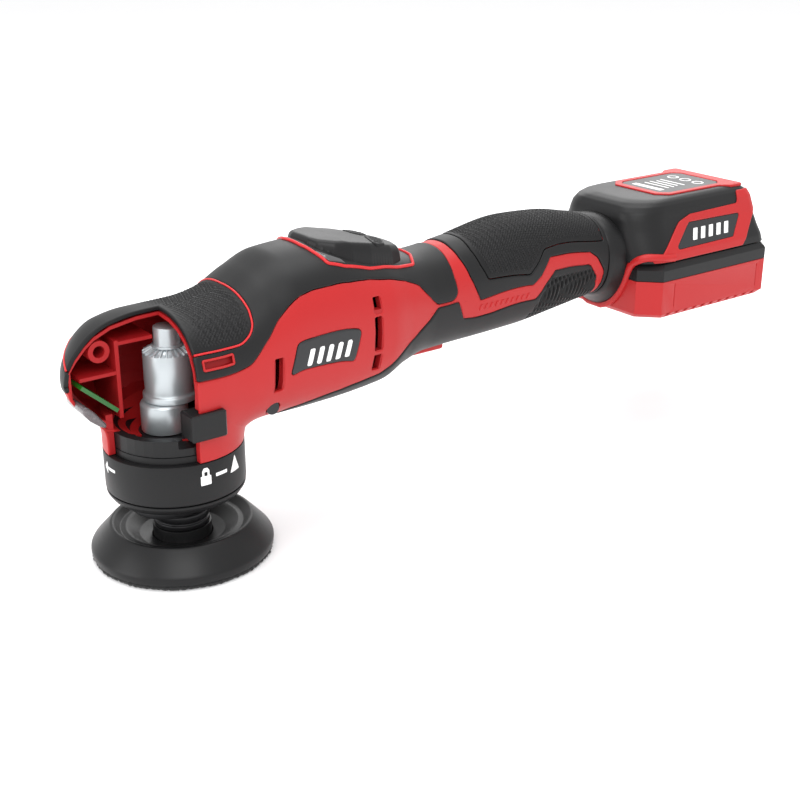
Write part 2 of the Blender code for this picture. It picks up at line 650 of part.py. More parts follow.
def add_motor():
    line = (0, 0, MOTOR_Z)
    shaft = turned("motor_shaft", ((0, 101.5), (2.2, 101.5), (2.2, 14.4), (1.3, 14.4), (1.3, 6.0), (0, 6.0)),
                   line, "X", 20)
    keep(shaft, SILVER, 0.25, 1.0)
    keep(ring("rotor_core", 2.5, 9.7, 50, 76, line, "X"), SILVER, 0.4, 1.0)
    stator = ring("stator_core", 10.3, 18.0, 50, 76, line, "X", 36)
    for slot in range(6):
        angle = math.radians(60 * slot + 30)
        groove = rod(f"stator_slot_{slot}", 1.9, (48, 13 * math.sin(angle), MOTOR_Z + 13 * math.cos(angle)),
                     30, "X", 12)
        boolean(stator, groove)
    keep(stator, (0.25, 0.25, 0.27), 0.4, 1.0)
    for name, low, high in (("winding_front", 45.4, 49.6), ("winding_rear", 76.4, 80.6)):
        profile = ((15.4, high), (16.4, high - 1.2), (16.4, low + 1.2), (15.4, low), (11.0, low),
                   (11.0, high))
        keep(turned(name, profile, line, "X"), COPPER, 0.4, 1.0)
    keep(ring("motor_bearing_front", 2.5, 8.0, 17, 23, line, "X"), SILVER, 0.3, 1.0)
    keep(ring("motor_bearing_rear", 2.5, 7.0, 95.5, 100.5, line, "X"), SILVER, 0.3, 1.0)
    fan = ring("cooling_fan", 2.5, 6.0, 84.5, 92.5, line, "X", 24)
    boolean(fan, ring("fan_disc", 5.0, 16.2, 91.0, 92.5, line, "X", 28), "UNION")
    for blade in range(9):
        vane = block(f"fan_blade_{blade}", (85.0, 5.2, -0.5), (91.6, 15.6, 0.5))
        vane.matrix_world = Matrix.Translation(mm(*line)) @ Matrix.Rotation(
            math.radians(40 * blade), 4, "X") @ vane.matrix_basis
        boolean(fan, vane, "UNION")
    keep(fan, BLACK, 0.5)


# ---------------------------------------------------------------- spindle, eccentric and pad

def add_spindle():
    shaft = turned("spindle_shaft", ((0, 97.2), (4.9, 97.2), (5.3, 96.8), (5.3, 90.2), (3.5, 90.2),
                                     (3.5, 47.0), (0, 47.0)))
    keep(shaft, SILVER, 0.25, 1.0)
    drum = turned("spindle_drum", ((9.9, 81.9), (9.9, 70.6), (10.9, 70.0), (10.9, 67.6), (3.8, 67.6),
                                   (3.8, 81.9)), steps=40)
    keep(drum, SILVER, 0.25, 1.0)
    away = (-2.6 * ORBIT_X, -2.6 * ORBIT_Y, 0)
    weight = rod("counterweight", 9.4, (away[0], away[1], 55.3), 12.0, sides=40)
    boolean(weight, rod("counterweight_bore", 3.8, (0, 0, 50), 30, sides=24))
    shave = block("counterweight_shave", (3.6, -12, 50), (14, 12, 62.5))
    boolean(weight, shave)
    keep(weight, SILVER, 0.3, 1.0)
    hub = turned("eccentric_hub", ((13.0, 55.0), (14.0, 54.0), (14.0, 27.3), (3.8, 27.3), (3.8, 55.0)), steps=40)
    boolean(hub, rod("eccentric_lower_weight", 15.0, (-3.1, 2.3, 20.3), 7.2, sides=40), "UNION")
    boolean(hub, rod("eccentric_pocket", 9.0 + GAP, (ORBIT_X, ORBIT_Y, 15), 29.5, sides=36))
    keep(hub, BLACK, 0.35, 0.6)
    bearing = ring("pad_bearing", 4.0 + GAP, 9.0, 35.0, 44.0, (ORBIT_X, ORBIT_Y, 0))
    keep(bearing, SILVER, 0.3, 1.0)
    keep(ring("spindle_bearing", 14.0 + GAP, 19.8, 43.6, 50.6, steps=40), SILVER, 0.3, 1.0)


def add_pad():
    at = (ORBIT_X, ORBIT_Y, 0)
    stud = turned("pad_shaft", ((0, 43.8), (4.0, 43.8), (4.0, 34.4), (8.0, 32.4), (8.0, 20.5), (11.4, 18.5),
                                (11.4, 12.7), (2.5, 12.7), (2.5, 19.5), (0, 19.5)), at)
    for number in range(2):
        flat = block(f"pad_shaft_flat_{number}", (-9, 6.6, 21.5), (9, 12, 31.5))
        flat.matrix_world = Matrix.Translation(mm(*at)) @ Matrix.Rotation(
            math.pi * number, 4, "Z") @ flat.matrix_basis
        boolean(stud, flat)
    keep(stud, GREY, 0.35, 0.8)
    plate = turned("pad_plate", ((12.0, 12.4), (12.0, 4.1), (29.8, 4.1), (29.8, 1.9), (4.6, 1.9), (4.6, 4.8),
                                 (2.5, 4.8), (2.5, 12.4)), at, steps=32)
    keep(plate, GREY, 0.5)
    foam = turned("pad_foam", ((27.2, 14.0), (28.6, 14.3), (29.4, 13.8), (36.8, 5.8), (37.5, 4.2), (37.2, 1.8),
                               (30.2, 1.8), (30.2, 4.5), (12.4, 4.5), (12.4, 7.6), (17.5, 8.2), (21.5, 11.4),
                               (23.0, 11.9), (25.2, 11.5)), at, steps=40)
    keep(foam, BLACK, 0.55)
    keep(rod("hook_face", PAD_R - 0.7, at, 1.5, sides=40), BLACK, 0.95)
    screw = turned("pad_screw", ((0, 18.5), (2.2, 18.5), (2.2, 4.5), (4.2, 4.5), (4.2, 2.1), (0, 2.1)), at,
                   steps=20)
    keep(screw, SILVER, 0.3, 1.0)


# ---------------------------------------------------------------- collar, gear case and head fittings

def add_head_fittings():
    seat = turned("collar_seat", ((24.9, 51.6), (24.9, 33.0), (20.1, 33.0), (20.1, 51.6)), steps=40)
    keep(seat, BLACK, 0.45)
    case = turned("gear_case", ((24.9, 58.4), (24.9, 51.9), (17.0, 51.9), (17.0, 55.6), (21.5, 56.6),
                                (21.5, 58.4)), steps=40)
    boolean(case, block("gear_case_lock_notch", (-9.5, -30, 55), (9.5, -14, 60)))
    keep(case, BLACK, 0.5)
    collar = turned("lock_collar", ((28.2, 48.9), (28.2, 32.4), (27.6, 31.9), (25.2, 31.9), (25.2, 48.9)),
                    steps=40)
    keep(collar, BLACK, 0.5)
    skirt = turned("collar_skirt", ((28.0, 31.5), (28.0, 30.6), (26.3, 28.1), (15.2, 28.1), (15.2, 29.6),
                                    (21.0, 31.5)), steps=40)
    keep(skirt, BLACK, 0.5)
    lock = block("spindle_lock", (-7.4, -31.6, 59.6), (7.6, -21.6, 70.4), 0.6)
    boolean(lock, block("spindle_lock_bar", (-3.0, -22, 61.0), (3.0, -15.4, 64.0)), "UNION")
    keep(lock, BLACK, 0.5)


def add_lamp():
    tilt = Matrix.Translation(mm(-30.6, 0, 74.0)) @ Matrix.Rotation(math.radians(41.6), 4, "Y")
    board = block("led_board", (-9.4, -2.2, -0.8), (9.4, 9.5, 0.8))
    board.matrix_world = tilt @ board.matrix_basis
    keep(board, GREEN, 0.5)
    lens = slab("led_lens", LENS_OUTLINE, -8.6, 8.9)
    keep(lens, GREY, 0.1)


def add_electronics():
    board = block("controller_board", (126, -10.5, 76.4), (186, 10.5, 78.0))
    keep(board, GREEN, 0.5)
    switch = block("trigger_switch", (113.5, -5.5, 68.6), (124.5, 5.5, 75.8), 0.5)
    keep(switch, BLACK, 0.5)
    trigger = block("trigger", (112.0, -5.0, 60.6), (134.2, 5.0, 65.0), 1.2)
    keep(trigger, RED, 0.45)
    for label, x, z, depth in SCREWS:
        screw = rod("housing_screw_" + label, 1.5, (x, -depth - 1.8, z), depth, "Y", 16)
        boolean(screw, rod(screw.name + "_head", 2.9, (x, -depth - 2.1, z), 2.0, "Y", 20), "UNION")
        keep(screw, SILVER, 0.35, 1.0)


add_housing()
for side_label, side_sign in SIDES:
    add_grips(side_label, side_sign)
    add_side_badge(side_label, side_sign)
add_control_pod()
add_dock()
add_pack()
add_bevel_pair()
add_motor()
add_spindle()
add_pad()
add_head_fittings()
add_lamp()
add_electronics()
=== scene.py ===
import bpy
import bmesh
import math
import numpy as np
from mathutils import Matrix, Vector


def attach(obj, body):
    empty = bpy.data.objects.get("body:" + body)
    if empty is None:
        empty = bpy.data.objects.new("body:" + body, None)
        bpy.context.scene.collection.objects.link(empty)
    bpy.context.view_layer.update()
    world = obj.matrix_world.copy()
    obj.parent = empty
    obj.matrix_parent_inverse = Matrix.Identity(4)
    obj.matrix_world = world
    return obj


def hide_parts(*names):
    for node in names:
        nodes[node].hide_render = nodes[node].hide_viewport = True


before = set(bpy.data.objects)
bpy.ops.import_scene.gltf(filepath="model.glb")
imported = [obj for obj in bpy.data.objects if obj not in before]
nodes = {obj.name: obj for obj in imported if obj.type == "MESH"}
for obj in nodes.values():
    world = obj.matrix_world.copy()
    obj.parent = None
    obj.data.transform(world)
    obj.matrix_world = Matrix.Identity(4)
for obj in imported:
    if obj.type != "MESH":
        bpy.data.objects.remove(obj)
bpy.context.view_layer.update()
mm = 0.001  # tables below are in millimetres
print("frame loaded:", len(nodes), "nodes")


# finishes: shared node groups, then one material for each


def newGroup(name, inputs, outputs):
    group = bpy.data.node_groups.new(name, "ShaderNodeTree")
    for socket, kind, value in inputs:
        made = group.interface.new_socket(socket, in_out="INPUT", socket_type=kind)
        made.default_value = value
    for socket, kind in outputs:
        group.interface.new_socket(socket, in_out="OUTPUT", socket_type=kind)
    ends = group.nodes.new("NodeGroupInput"), group.nodes.new("NodeGroupOutput")
    return group, ends[0], ends[1]


def setSockets(tree, node, sockets):
    # each socket gets a value, or a link from another node's output
    for name, value in sockets.items():
        if isinstance(value, bpy.types.NodeSocket):
            tree.links.new(value, node.inputs[name])
        else:
            node.inputs[name].default_value = value
    return node


def addNode(tree, kind, sockets):
    return setSockets(tree, tree.nodes.new(kind), sockets)


def mathNode(tree, operation, first, second):
    node = addNode(tree, "ShaderNodeMath", {0: first, 1: second})
    node.operation = operation
    return node.outputs[0]


def noiseNode(tree, vector, scale, detail=2.0, roughness=0.5):
    sockets = {"Vector": vector, "Scale": scale, "Detail": detail, "Roughness": roughness}
    return addNode(tree, "ShaderNodeTexNoise", sockets).outputs["Fac"]


def weighted(tree, first, share, second):
    # the first value's share, and the second's for the rest
    parts = mathNode(tree, "MULTIPLY", first, share), mathNode(tree, "MULTIPLY", second, 1 - share)
    return mathNode(tree, "ADD", *parts)


effectOutputs = [("Height", "NodeSocketFloat"), ("Tone", "NodeSocketFloat")]


def mouldGroup():
    # spark-eroded mould grain: fine pits, with a slow change of tone across the moulding
    group, start, end = newGroup("mouldGrain", [("Vector", "NodeSocketVector", (0, 0, 0)),
                                                ("Grain", "NodeSocketFloat", 1500.0),
                                                ("Cloud", "NodeSocketFloat", 28.0)], effectOutputs)
    fine = noiseNode(group, start.outputs["Vector"], start.outputs["Grain"], 3.0, 0.6)
    slow = noiseNode(group, start.outputs["Vector"], start.outputs["Cloud"], 3.0, 0.55)
    setSockets(group, end, {"Height": fine, "Tone": weighted(group, fine, 0.35, slow)})
    return group


def turningGroup():
    # fine marks left by the lathe, level rings up the spindle's axis
    group, start, end = newGroup("turningMarks", [("Vector", "NodeSocketVector", (0, 0, 0)),
                                                  ("Pitch", "NodeSocketFloat", 1.0)], effectOutputs)
    flat = {"Vector": start.outputs["Vector"], "Scale": (0.04, 0.04, 1.0)}
    mapping = addNode(group, "ShaderNodeMapping", flat)
    rings = noiseNode(group, mapping.outputs[0], mathNode(group, "MULTIPLY", start.outputs["Pitch"], 2600.0))
    cloud = noiseNode(group, start.outputs["Vector"], 60.0)
    setSockets(group, end, {"Height": rings, "Tone": weighted(group, rings, 0.5, cloud)})
    return group


groups = {"mould": mouldGroup(), "turned": turningGroup()}


def colorMix(tree, factor, dark, light):
    node = tree.nodes.new("ShaderNodeMix")
    node.data_type = "RGBA"
    node.inputs["A"].default_value = (*dark, 1)
    node.inputs["B"].default_value = (*light, 1)
    tree.links.new(factor, node.inputs["Factor"])
    return node.outputs["Result"]


shaderSockets = {
    # short name: the shader's socket, its usual value
    "metallic": ("Metallic", 0.0), "coat": ("Coat Weight", 0.0), "coatRough": ("Coat Roughness", 0.15),
    "sheen": ("Sheen Weight", 0.0), "ior": ("IOR", 1.5), "transmission": ("Transmission Weight", 0.0),
}


def finish(name, color, rough, kind="mould", grain=1500.0, depth=0.02, swing=0.12, cloud=28.0, **looks):
    # the effect's tone moves the colour and the roughness, and its height is a bump of the given depth
    material = bpy.data.materials.new(name)
    material.use_nodes = True
    material.diffuse_color = (*color, 1)
    tree = material.node_tree
    effect = tree.nodes.new("ShaderNodeGroup")
    effect.node_tree = groups[kind]
    scales = {"Grain": grain, "Cloud": cloud} if kind == "mould" else {"Pitch": grain}
    where = tree.nodes.new("ShaderNodeTexCoord").outputs["Object"]
    setSockets(tree, effect, {"Vector": where, **scales})
    dark = [c * (1 - swing) for c in color]
    light = [min(c * (1 + swing), 1) for c in color]
    tone = effect.outputs["Tone"]
    spread = addNode(tree, "ShaderNodeMapRange", {
        "Value": tone, "From Min": 0.3, "From Max": 0.7, "To Min": max(rough - 0.06, 0.02),
        "To Max": min(rough + 0.06, 1)})
    bump = addNode(tree, "ShaderNodeBump", {"Strength": 0.35, "Distance": depth * mm,
                                            "Height": effect.outputs["Height"]})
    sockets = {"Base Color": colorMix(tree, tone, dark, light), "Roughness": spread.outputs["Result"],
               "Normal": bump.outputs["Normal"]}
    for look, (socket, usual) in shaderSockets.items():
        sockets[socket] = looks.get(look, usual)
    setSockets(tree, tree.nodes["Principled BSDF"], sockets)
    return material


finishes = {
    "red": finish("redPlastic", (0.42, 0.013, 0.014), 0.42, depth=0.03, swing=0.07, ior=1.38),
    # the red plastic again, darker, for the housing's inside surfaces: painted shade, with a rougher finish
    "redShadedInside": finish("redPlasticShadedInside", (0.36, 0.010, 0.012), 0.5, depth=0.03, swing=0.1, ior=1.35),
    "redLine": finish("redLine", (0.56, 0.016, 0.02), 0.38, depth=0.01, swing=0.05, ior=1.4),
    "rubber": finish("blackRubber", (0.0085, 0.0085, 0.009), 0.46, grain=2200, depth=0.03, swing=0.12, ior=1.34),
    "grip": finish("gripRubber", (0.0065, 0.0065, 0.007), 0.5, grain=2200, depth=0.03, swing=0.15, ior=1.33),
    "black": finish("blackPlastic", (0.0075, 0.0075, 0.008), 0.4, depth=0.03, swing=0.12, ior=1.35),
    "collar": finish("collarPlastic", (0.0085, 0.0085, 0.009), 0.44, depth=0.04, swing=0.12, ior=1.33),
    "plate": finish("greyPlate", (0.019, 0.020, 0.022), 0.38, depth=0.02, swing=0.1, coat=0.05, ior=1.4),
    "print": finish("whitePrint", (0.85, 0.85, 0.85), 0.5, depth=0.01, swing=0.03),
    "steel": finish("turnedSteel", (0.52, 0.56, 0.58), 0.36, kind="turned", grain=1.0, depth=0.001,
                    swing=0.03, metallic=0.7),
    "ground": finish("groundSteel", (0.5, 0.51, 0.53), 0.3, kind="turned", grain=0.8, depth=0.02, swing=0.08,
                     metallic=1.0),
    "oxide": finish("blackOxide", (0.03, 0.03, 0.032), 0.36, kind="turned", grain=0.8, depth=0.02, swing=0.15,
                    metallic=0.6),
    "copper": finish("copperWire", (0.62, 0.26, 0.1), 0.35, kind="turned", grain=0.3, depth=0.2, swing=0.25,
                     metallic=0.9),
    "board": finish("boardGreen", (0.003, 0.12, 0.008), 0.4, depth=0.02, swing=0.25, coat=0.3, cloud=200),
    "wrap": finish("cellWrap", (0.03, 0.2, 0.3), 0.35, depth=0.01, swing=0.1, coat=0.3),
    "pad": finish("padRubber", (0.0065, 0.0065, 0.007), 0.38, grain=1100, depth=0.04, swing=0.12, ior=1.35),
    "hook": finish("hookFabric", (0.010, 0.010, 0.0105), 0.9, grain=1400, depth=0.6, swing=0.5, sheen=0.15),
    "lens": finish("smokedLens", (0.16, 0.13, 0.14), 0.1, depth=0.004, swing=0.1, coat=0.8, coatRough=0.04,
                   transmission=0.55, ior=1.49),
    "gloss": finish("glossLens", (0.05, 0.05, 0.052), 0.12, depth=0.004, swing=0.1, coat=0.7, coatRough=0.05),
    "lamp": finish("lampChrome", (0.9, 0.88, 0.85), 0.15, kind="turned", grain=1.0, depth=0.01, swing=0.04,
                   metallic=0.9),
}


def paint(obj, key):
    obj.data.materials.clear()
    obj.data.materials.append(finishes[key])
    return obj


nodeFinishes = {
    # the CAD housing halves show their inside surfaces, in the red darkened as painted shade
    "redShadedInside": ("housing_left", "housing_right"),
    "red": ("pack_case", "trigger"),
    "grip": ("head_grip_left", "head_grip_right", "handle_grip_left", "handle_grip_right"),
    "rubber": ("belly_cover_left", "belly_cover_right"),
    "black": ("control_pod", "speed_key_front", "speed_key_rear", "battery_dock", "dock_terminals", "pack_lid",
              "pack_latch", "gear_case", "collar_seat", "spindle_lock", "trigger_switch", "cooling_fan",
              "pad_plate"),
    "collar": ("lock_collar", "collar_skirt"),
    "plate": ("side_badge_left", "side_badge_right", "dock_badge_left", "dock_badge_right", "dock_label"),
    "gloss": ("pod_lens",),
    "lens": ("led_lens",),
    "steel": ("spindle_shaft", "spindle_drum", "counterweight", "bevel_gear", "bevel_pinion", "motor_shaft",
              "pad_screw"),
    "ground": ("spindle_bearing", "pad_bearing", "motor_bearing_front", "motor_bearing_rear", "rotor_core",
               "stator_core"),
    "oxide": ("eccentric_hub", "pad_shaft", "housing_screw_front", "housing_screw_rear"),
    "copper": ("winding_front", "winding_rear"),
    "board": ("led_board", "controller_board", "pack_board"),
    "wrap": ("cell_1", "cell_2", "cell_3", "cell_4"),
    "pad": ("pad_foam",),
    "hook": ("hook_face",),
}
for key, names in nodeFinishes.items():
    for name in names:
        paint(nodes[name], key)
print("finishes made")


# mesh helpers


def deselectAll():
    if bpy.context.mode != "OBJECT":
        bpy.ops.object.mode_set(mode="OBJECT")
    bpy.ops.object.select_all(action="DESELECT")


def makeActive(obj):
    deselectAll()
    obj.select_set(True)
    bpy.context.view_layer.objects.active = obj


def applyModifiers(obj):
    makeActive(obj)
    for modifier in list(obj.modifiers):
        bpy.ops.object.modifier_apply(modifier=modifier.name)
    return obj


def smoothShade(obj, angle=35):
    makeActive(obj)
    bpy.ops.object.shade_smooth_by_angle(angle=math.radians(angle))
    return obj


def place(obj, key, body, replaced=()):
    # the last step for each piece: finish, material slot, body that it rides on, CAD nodes that it stands for
    paint(obj, key)
    if replaced:
        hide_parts(*replaced)
    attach(obj, body)
    return obj


def settlePlace(obj):
    makeActive(obj)
    bpy.ops.object.transform_apply(location=True, rotation=True, scale=True)
    return obj


def addObject(name, data):
    obj = bpy.data.objects.new(name, data)
    bpy.context.scene.collection.objects.link(obj)
    return obj


def meshFrom(name, points, faces):
    mesh = bpy.data.meshes.new(name)
    mesh.from_pydata([tuple(float(c) * mm for c in p) for p in points], [], faces)
    mesh.update()
    return addObject(name, mesh)


def outwards(obj):
    # turns the mesh round if its volume comes out negative
    builder = bmesh.new()
    builder.from_mesh(obj.data)
    if builder.calc_volume(signed=True) < 0:
        bmesh.ops.reverse_faces(builder, faces=builder.faces)
    builder.to_mesh(obj.data)
    builder.free()
    return obj


def bevelEdges(obj, width, segments=3, angle=30):
    modifier = obj.modifiers.new("edges", "BEVEL")
    modifier.width = width * mm
    modifier.segments = segments
    modifier.limit_method = "ANGLE"
    modifier.angle_limit = math.radians(angle)
    modifier.harden_normals = False
    return applyModifiers(obj)


def blockPiece(name, low, high, bevel=0.4, segments=3):
    size = [b - a for a, b in zip(low, high)]
    centre = [(a + b) / 2 * mm for a, b in zip(low, high)]
    deselectAll()
    bpy.ops.mesh.primitive_cube_add(size=1, location=centre, scale=[s * mm for s in size])
    obj = bpy.context.object
    obj.name = name
    settlePlace(obj)
    if bevel:
        bevelEdges(obj, bevel, segments)
    return smoothShade(obj)


def latheRing(name, profile, at=(0, 0), steps=112, bevel=0.25, segments=2, angle=25):
    # a circle drawn out along the profile's (radius, height) corners; one that touches the axis is capped
    closed = profile[0][0] > 0 and profile[-1][0] > 0
    corners = [p for p in profile if p[0] > 0]
    radius, height = corners[0]
    deselectAll()
    bpy.ops.mesh.primitive_circle_add(vertices=steps, radius=radius * mm, fill_type="NOTHING",
                                      location=(at[0] * mm, at[1] * mm, height * mm))
    obj = bpy.context.object
    obj.name = name
    settlePlace(obj)
    bpy.ops.object.mode_set(mode="EDIT")
    bpy.ops.mesh.select_all(action="SELECT")
    axis = (at[0] * mm, at[1] * mm, 0)
    for (r0, z0), (r1, z1) in zip(corners, corners[1:]):
        bpy.ops.mesh.extrude_edges_move(TRANSFORM_OT_translate={"value": (0, 0, (z1 - z0) * mm)})
        if abs(r1 - r0) > 1e-6:
            bpy.ops.transform.resize(value=(r1 / r0, r1 / r0, 1), center_override=axis)
    bpy.ops.mesh.select_non_manifold(extend=False)
    if closed:
        bpy.ops.mesh.bridge_edge_loops()
    else:
        bpy.ops.mesh.fill_holes(sides=0)
    bpy.ops.mesh.select_all(action="SELECT")
    bpy.ops.mesh.normals_make_consistent(inside=False)
    bpy.ops.object.mode_set(mode="OBJECT")
    outwards(obj)
    if bevel:
        bevelEdges(obj, bevel, segments, angle)
    return smoothShade(obj)


def loftRings(name, rings, edge=0.0):
    # a closed piece over rings of equal count, flat at both ends
    count = len(rings[0])
    faces = [(r * count + i, r * count + (i + 1) % count, (r + 1) * count + (i + 1) % count, (r + 1) * count + i)
             for r in range(len(rings) - 1) for i in range(count)]
    faces.append(tuple(reversed(range(count))))
    faces.append(tuple(range((len(rings) - 1) * count, len(rings) * count)))
    obj = outwards(meshFrom(name, [p for ring in rings for p in ring], faces))
    if edge:
        bevelEdges(obj, edge)
    return smoothShade(obj)


def tube(name, points, radius, cyclic=False, sides=3):
    # a round bead along the points, closed at its ends
    curve = bpy.data.curves.new(name, "CURVE")
    curve.dimensions = "3D"
    curve.bevel_depth = radius * mm
    curve.bevel_resolution = sides
    curve.use_fill_caps = not cyclic
    spline = curve.splines.new("POLY")
    spline.points.add(len(points) - 1)
    for point, spot in zip(spline.points, points):
        point.co = (*(float(c) * mm for c in spot), 1)
    spline.use_cyclic_u = cyclic
    makeActive(addObject(name, curve))
    bpy.ops.object.convert(target="MESH")
    return smoothShade(bpy.context.object, 60)


def join(name, pieces):
    deselectAll()
    for piece in pieces:
        piece.select_set(True)
    bpy.context.view_layer.objects.active = pieces[0]
    bpy.ops.object.join()
    pieces[0].name = name
    return pieces[0]


def rounded(points, radius, steps=5):
    # the outline with each corner as an arc; a point's third number, if any, is its own radius
    smooth = []
    count = len(points)
    for i, point in enumerate(points):
        here = np.array(point[:2], float)
        before, after = np.array(points[i - 1][:2], float), np.array(points[(i + 1) % count][:2], float)
        wanted = point[2] if len(point) > 2 else radius
        to, on = before - here, after - here
        lengths = np.linalg.norm(to), np.linalg.norm(on)
        to, on = to / lengths[0], on / lengths[1]
        half = math.acos(float(np.clip(to @ on, -1, 1))) / 2
        if half < 0.05 or half > math.pi / 2 - 0.03 or wanted <= 0:
            smooth.append(here)
            continue
        reach = min(wanted / math.tan(half), 0.48 * min(lengths))
        arc = reach * math.tan(half)
        start, end = here + to * reach, here + on * reach
        centre = here + (to + on) / np.linalg.norm(to + on) * (arc / math.sin(half))
        a0 = math.atan2(*(start - centre)[::-1])
        turn = (math.atan2(*(end - centre)[::-1]) - a0 + math.pi) % (2 * math.pi) - math.pi
        for step in range(steps + 1):
            angle = a0 + turn * step / steps
            smooth.append(centre + arc * np.array((math.cos(angle), math.sin(angle))))
    return np.array(smooth)


def insideDistance(outline, a, b):
    # how far each point is inside the outline; negative outside
    points = np.stack([np.ravel(a), np.ravel(b)], axis=1).astype(float)
    best = np.full(len(points), 1e9)
    inside = np.zeros(len(points), bool)
    for p, q in zip(outline, np.roll(outline, -1, axis=0)):
        edge = q - p
        along = np.clip((points - p) @ edge / max(edge @ edge, 1e-12), 0, 1)
        best = np.minimum(best, np.hypot(*(points - p - along[:, None] * edge).T))
        if p[1] != q[1]:
            crosses = (p[1] > points[:, 1]) != (q[1] > points[:, 1])
            inside ^= crosses & (points[:, 0] < p[0] + (points[:, 1] - p[1]) * edge[0] / edge[1])
    return np.where(inside, best, -best).reshape(np.shape(a))


def outlineField(shape, hole=None):
    # inside the outline and, if there is one, outside the hole
    def field(a, b):
        found = insideDistance(shape, a, b)
        return found if hole is None else np.minimum(found, -insideDistance(hole, a, b))
    return field


def gridOver(low, high, counts):
    return [np.linspace(a, b, count) for a, b, count in zip(low, high, counts)]


def mirrored(points):
    # half an outline, then the same on the other side of y = 0
    return [*points, *((x, -y) for x, y in reversed(points))]


def circlePoints(x, y, radius, turns):
    return [(x + radius * math.cos(t), y + radius * math.sin(t)) for t in turns]


def slantedBar(left, low, high, width, lean):
    return (left, low), (left + width, low), (left + width + lean, high), (left + lean, high)


def clipGrid(aValues, bValues, field, levels, wrap=False):
    # the grid's faces where the field is over the first level, also split along the other levels,
    # so that an edge's rounding has rows of its own
    rows, columns = len(aValues), len(bValues)
    a, b = np.meshgrid(aValues, bValues, indexing="ij")
    d = field(a, b)
    index = np.arange(rows * columns).reshape(rows, columns)
    if wrap:
        index[:, -1] = index[:, 0]
        d[:, -1] = d[:, 0]
    params = [list(a.ravel()), list(b.ravel()), list(d.ravel())]
    four = np.stack([d[:-1, :-1], d[1:, :-1], d[1:, 1:], d[:-1, 1:]])
    whole = four.min(axis=0) >= levels[-1]
    cut = (four.max(axis=0) > levels[0]) & ~whole
    i, j = np.nonzero(whole)
    polygons = [tuple(f) for f in np.stack([index[i, j], index[i + 1, j], index[i + 1, j + 1],
                                            index[i, j + 1]], axis=1).tolist()]
    made = {}

    def split(polygon, level, number):
        above, below = [], []
        for p, q in zip(polygon, polygon[1:] + polygon[:1]):
            if p[3] >= level:
                above.append(p)
            if p[3] <= level:
                below.append(p)
            if (p[3] - level) * (q[3] - level) < 0:
                key = (min(p[0], q[0]), max(p[0], q[0]), number)
                t = (level - p[3]) / (q[3] - p[3])
                crossing = (p[1] + t * (q[1] - p[1]), p[2] + t * (q[2] - p[2]), level)
                if key not in made:
                    made[key] = len(params[0])
                    for column, value in zip(params, crossing):
                        column.append(value)
                above.append((made[key], *crossing))
                below.append((made[key], *crossing))
        return above, below

    for i, j in zip(*np.nonzero(cut)):
        corners = ((i, j), (i + 1, j), (i + 1, j + 1), (i, j + 1))
        parts = [[(int(index[c]), float(a[c]), float(b[c]), float(d[c])) for c in corners]]
        for number, level in enumerate(levels):
            kept = []
            for part in parts:
                above, below = split(part, level, number)
                kept += [above] if len(above) > 2 else []
                kept += [below] if number and len(below) > 2 else []
            parts = kept
        polygons += [tuple(p[0] for p in part) for part in parts]
    used = sorted({v for polygon in polygons for v in polygon})
    lookup = {v: k for k, v in enumerate(used)}
    polygons = [tuple(lookup[v] for v in polygon) for polygon in polygons]
    kept = [np.array(column)[used] for column in params]
    return kept, polygons


def surfaceFrame(surface, a, b, reach):
    # points on the surface, and its normals from neighbouring points
    point = surface(a, b)
    along = surface(a + reach[0], b) - surface(a - reach[0], b)
    across = surface(a, b + reach[1]) - surface(a, b - reach[1])
    normal = np.cross(along, across)
    normal /= np.maximum(np.linalg.norm(normal, axis=1), 1e-9)[:, None]
    return point, normal


def sheetPiece(name, surface, aValues, bValues, field, height, wall=1.2, edge=0.5, start=0.0, wrap=False,
               reach=(0.25, 0.002), sign=1, relief=None, lift=None):
    # a closed piece that follows a surface: its outside stands at the height, with rounded edges
    levels = [start, start + 0.1 * edge, start + 0.35 * edge, start + edge]
    (a, b, d), polygons = clipGrid(aValues, bValues, field, levels, wrap)
    point, normal = surfaceFrame(surface, a, b, reach)
    normal *= sign
    if lift is not None:
        point = point + normal * lift(point)[:, None]
    t = np.clip((d - start) / edge, 0, 1)
    rise = height - edge * (1 - np.sqrt(np.maximum(1 - (1 - t) ** 2, 0)))
    if relief is not None:
        rise = rise + relief(a, b, d, point)
    outer, inner = point + normal * rise[:, None], point - normal * wall
    count = len(a)
    used = dict.fromkeys(pair for polygon in polygons for pair in zip(polygon, polygon[1:] + polygon[:1]))
    faces = polygons + [tuple(v + count for v in reversed(polygon)) for polygon in polygons]
    faces += [(q, p, p + count, q + count) for p, q in used if (q, p) not in used]
    return smoothShade(outwards(meshFrom(name, np.concatenate([outer, inner]), faces)))


def flatSheet(name, surface, grid, field, height, wall, edge, **more):
    return sheetPiece(name, surface, *grid, field, height, wall=wall, edge=edge, reach=(0.2, 0.2), **more)


# the body's surface: sections along its length, addressed by length and by girth

